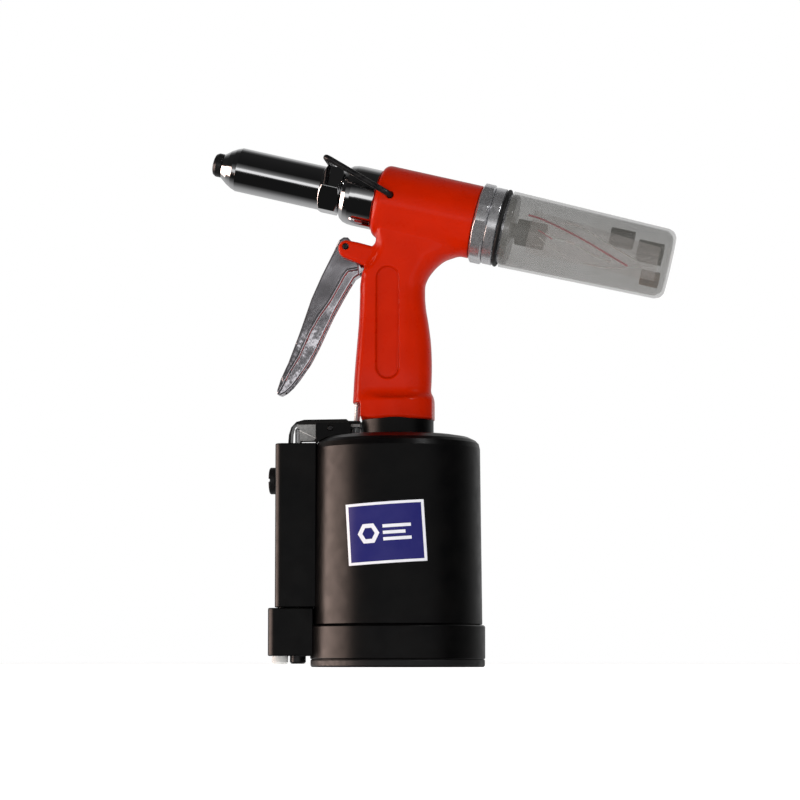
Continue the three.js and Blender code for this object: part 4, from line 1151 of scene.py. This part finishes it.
def make_world():
    """White behind the object, and for its reflections a dim studio with a bright strip in front."""
    world = bpy.data.worlds.new("studio")
    bpy.context.scene.world = world
    world.use_nodes = True
    nodes, links = world.node_tree.nodes, world.node_tree.links
    nodes.clear()
    place = nodes.new("ShaderNodeTexCoord")
    split = nodes.new("ShaderNodeSeparateXYZ")
    links.new(place.outputs["Generated"], split.inputs["Vector"])

    def ramp(source, stops):
        """A brightness along one direction, from (place, value) stops."""
        node = nodes.new("ShaderNodeValToRGB")
        points = node.color_ramp.elements
        while len(points) < len(stops):
            points.new(0.5)
        for point, (at, value) in zip(points, stops):
            point.position = at
            point.color = (value, value, value, 1)
        half = nodes.new("ShaderNodeMapRange")
        half.inputs["From Min"].default_value = -1.0
        links.new(source, half.inputs["Value"])
        links.new(half.outputs["Result"], node.inputs["Fac"])
        return node.outputs["Color"]

    def combine(operation, a, b):
        """Two colours, added or multiplied."""
        node = nodes.new("ShaderNodeMix")
        node.data_type = "RGBA"
        node.blend_type = operation
        node.inputs["Factor"].default_value = 1.0
        links.new(a, node.inputs["A"])
        links.new(b, node.inputs["B"])
        return node.outputs["Result"]

    strip = ramp(split.outputs["Z"], [(0.36, 0.0), (0.40, 0.1), (0.42, 1.0), (0.5, 1.1),
                                      (0.52, 0.5), (0.56, 0.2), (0.64, 0.08), (0.72, 0.0)])
    ahead = ramp(split.outputs["Y"], [(0.0, 1.0), (0.2, 0.8), (0.33, 0.0)])
    above = ramp(split.outputs["Z"], [(0.48, 0.0), (0.52, 1.0)])
    high = ramp(split.outputs["Y"], [(0.0, 0.01), (0.6, 0.02), (0.72, 0.12), (0.85, 0.5), (1.0, 0.7)])
    below = ramp(split.outputs["Z"], [(0.46, 1.0), (0.5, 0.0)])
    low = ramp(split.outputs["Y"], [(0.0, 0.01), (0.4, 0.01), (0.55, 0.12), (0.75, 0.4), (1.0, 0.55)])
    level = ramp(split.outputs["Z"], [(0.34, 0.0), (0.42, 1.0), (0.56, 1.0), (0.63, 0.0)])
    side = ramp(split.outputs["X"], [(0.03, 1.0), (0.07, 0.0)])
    total = combine("ADD", combine("MULTIPLY", strip, ahead), combine("MULTIPLY", above, high))
    total = combine("ADD", total, combine("MULTIPLY", below, low))
    softbox = nodes.new("ShaderNodeVectorMath")
    softbox.operation = "MULTIPLY"
    links.new(combine("MULTIPLY", level, side), softbox.inputs[0])
    softbox.inputs[1].default_value = (9.8, 7.3, 6.3)
    total = combine("ADD", total, softbox.outputs["Vector"])
    room, backdrop = nodes.new("ShaderNodeBackground"), nodes.new("ShaderNodeBackground")
    links.new(total, room.inputs["Color"])
    backdrop.inputs["Color"].default_value = (1, 1, 1, 1)
    path, mix = nodes.new("ShaderNodeLightPath"), nodes.new("ShaderNodeMixShader")
    links.new(path.outputs["Is Camera Ray"], mix.inputs["Fac"])
    links.new(room.outputs["Background"], mix.inputs[1])
    links.new(backdrop.outputs["Background"], mix.inputs[2])
    output = nodes.new("ShaderNodeOutputWorld")
    links.new(mix.outputs["Shader"], output.inputs["Surface"])


def make_studio():
    """The camera, the lamps, the world and a pale floor."""
    make_camera()
    make_world()
    bpy.context.scene.view_settings.view_transform = "Standard"
    area_light("front_fill", (-0.5, -1.9, 0.7), (0, 0, 0.15), (1.4, 1.2), 16, glossy=False)
    area_light("top_fill", (0.1, 0.5, 1.7), (0, 0, 0.1), (1.2, 1.2), 5, glossy=False)
    area_light("key", (1.0, -1.0, 1.25), (0, 0, 0.2), (0.16, 0.16), 7)
    mesh = bpy.data.meshes.new("floor")
    mesh.from_pydata([(-4, -4, 0), (4, -4, 0), (4, 4, 0), (-4, 4, 0)], [], [(0, 1, 2, 3)])
    floor = linked("floor", mesh)
    paper = bpy.data.materials.new("floor_paper")
    paper.use_nodes = True
    shader = paper.node_tree.nodes["Principled BSDF"]
    shader.inputs["Base Color"].default_value = (0.93, 0.93, 0.93, 1)
    shader.inputs["Roughness"].default_value = 0.9
    shader.inputs["Emission Color"].default_value = (1, 1, 1, 1)
    shader.inputs["Emission Strength"].default_value = 0.75
    mesh.materials.append(paper)
    floor.visible_glossy = False


# ---------------- everything

def finish_frame_nodes():
    """Gives every CAD node that still shows its slot's material."""
    for node, thing in frame["nodes"].items():
        if not thing.hide_render:
            thing.data.materials.clear()
            thing.data.materials.append(FINISHES[SLOT[node]])


for make in (make_studio, make_finishes, make_handle, make_trigger, make_nose, make_tail, make_bottle,
             make_bag, make_bail, make_cylinder, make_base, make_inlet, make_linkage, make_label,
             finish_frame_nodes):
    make()
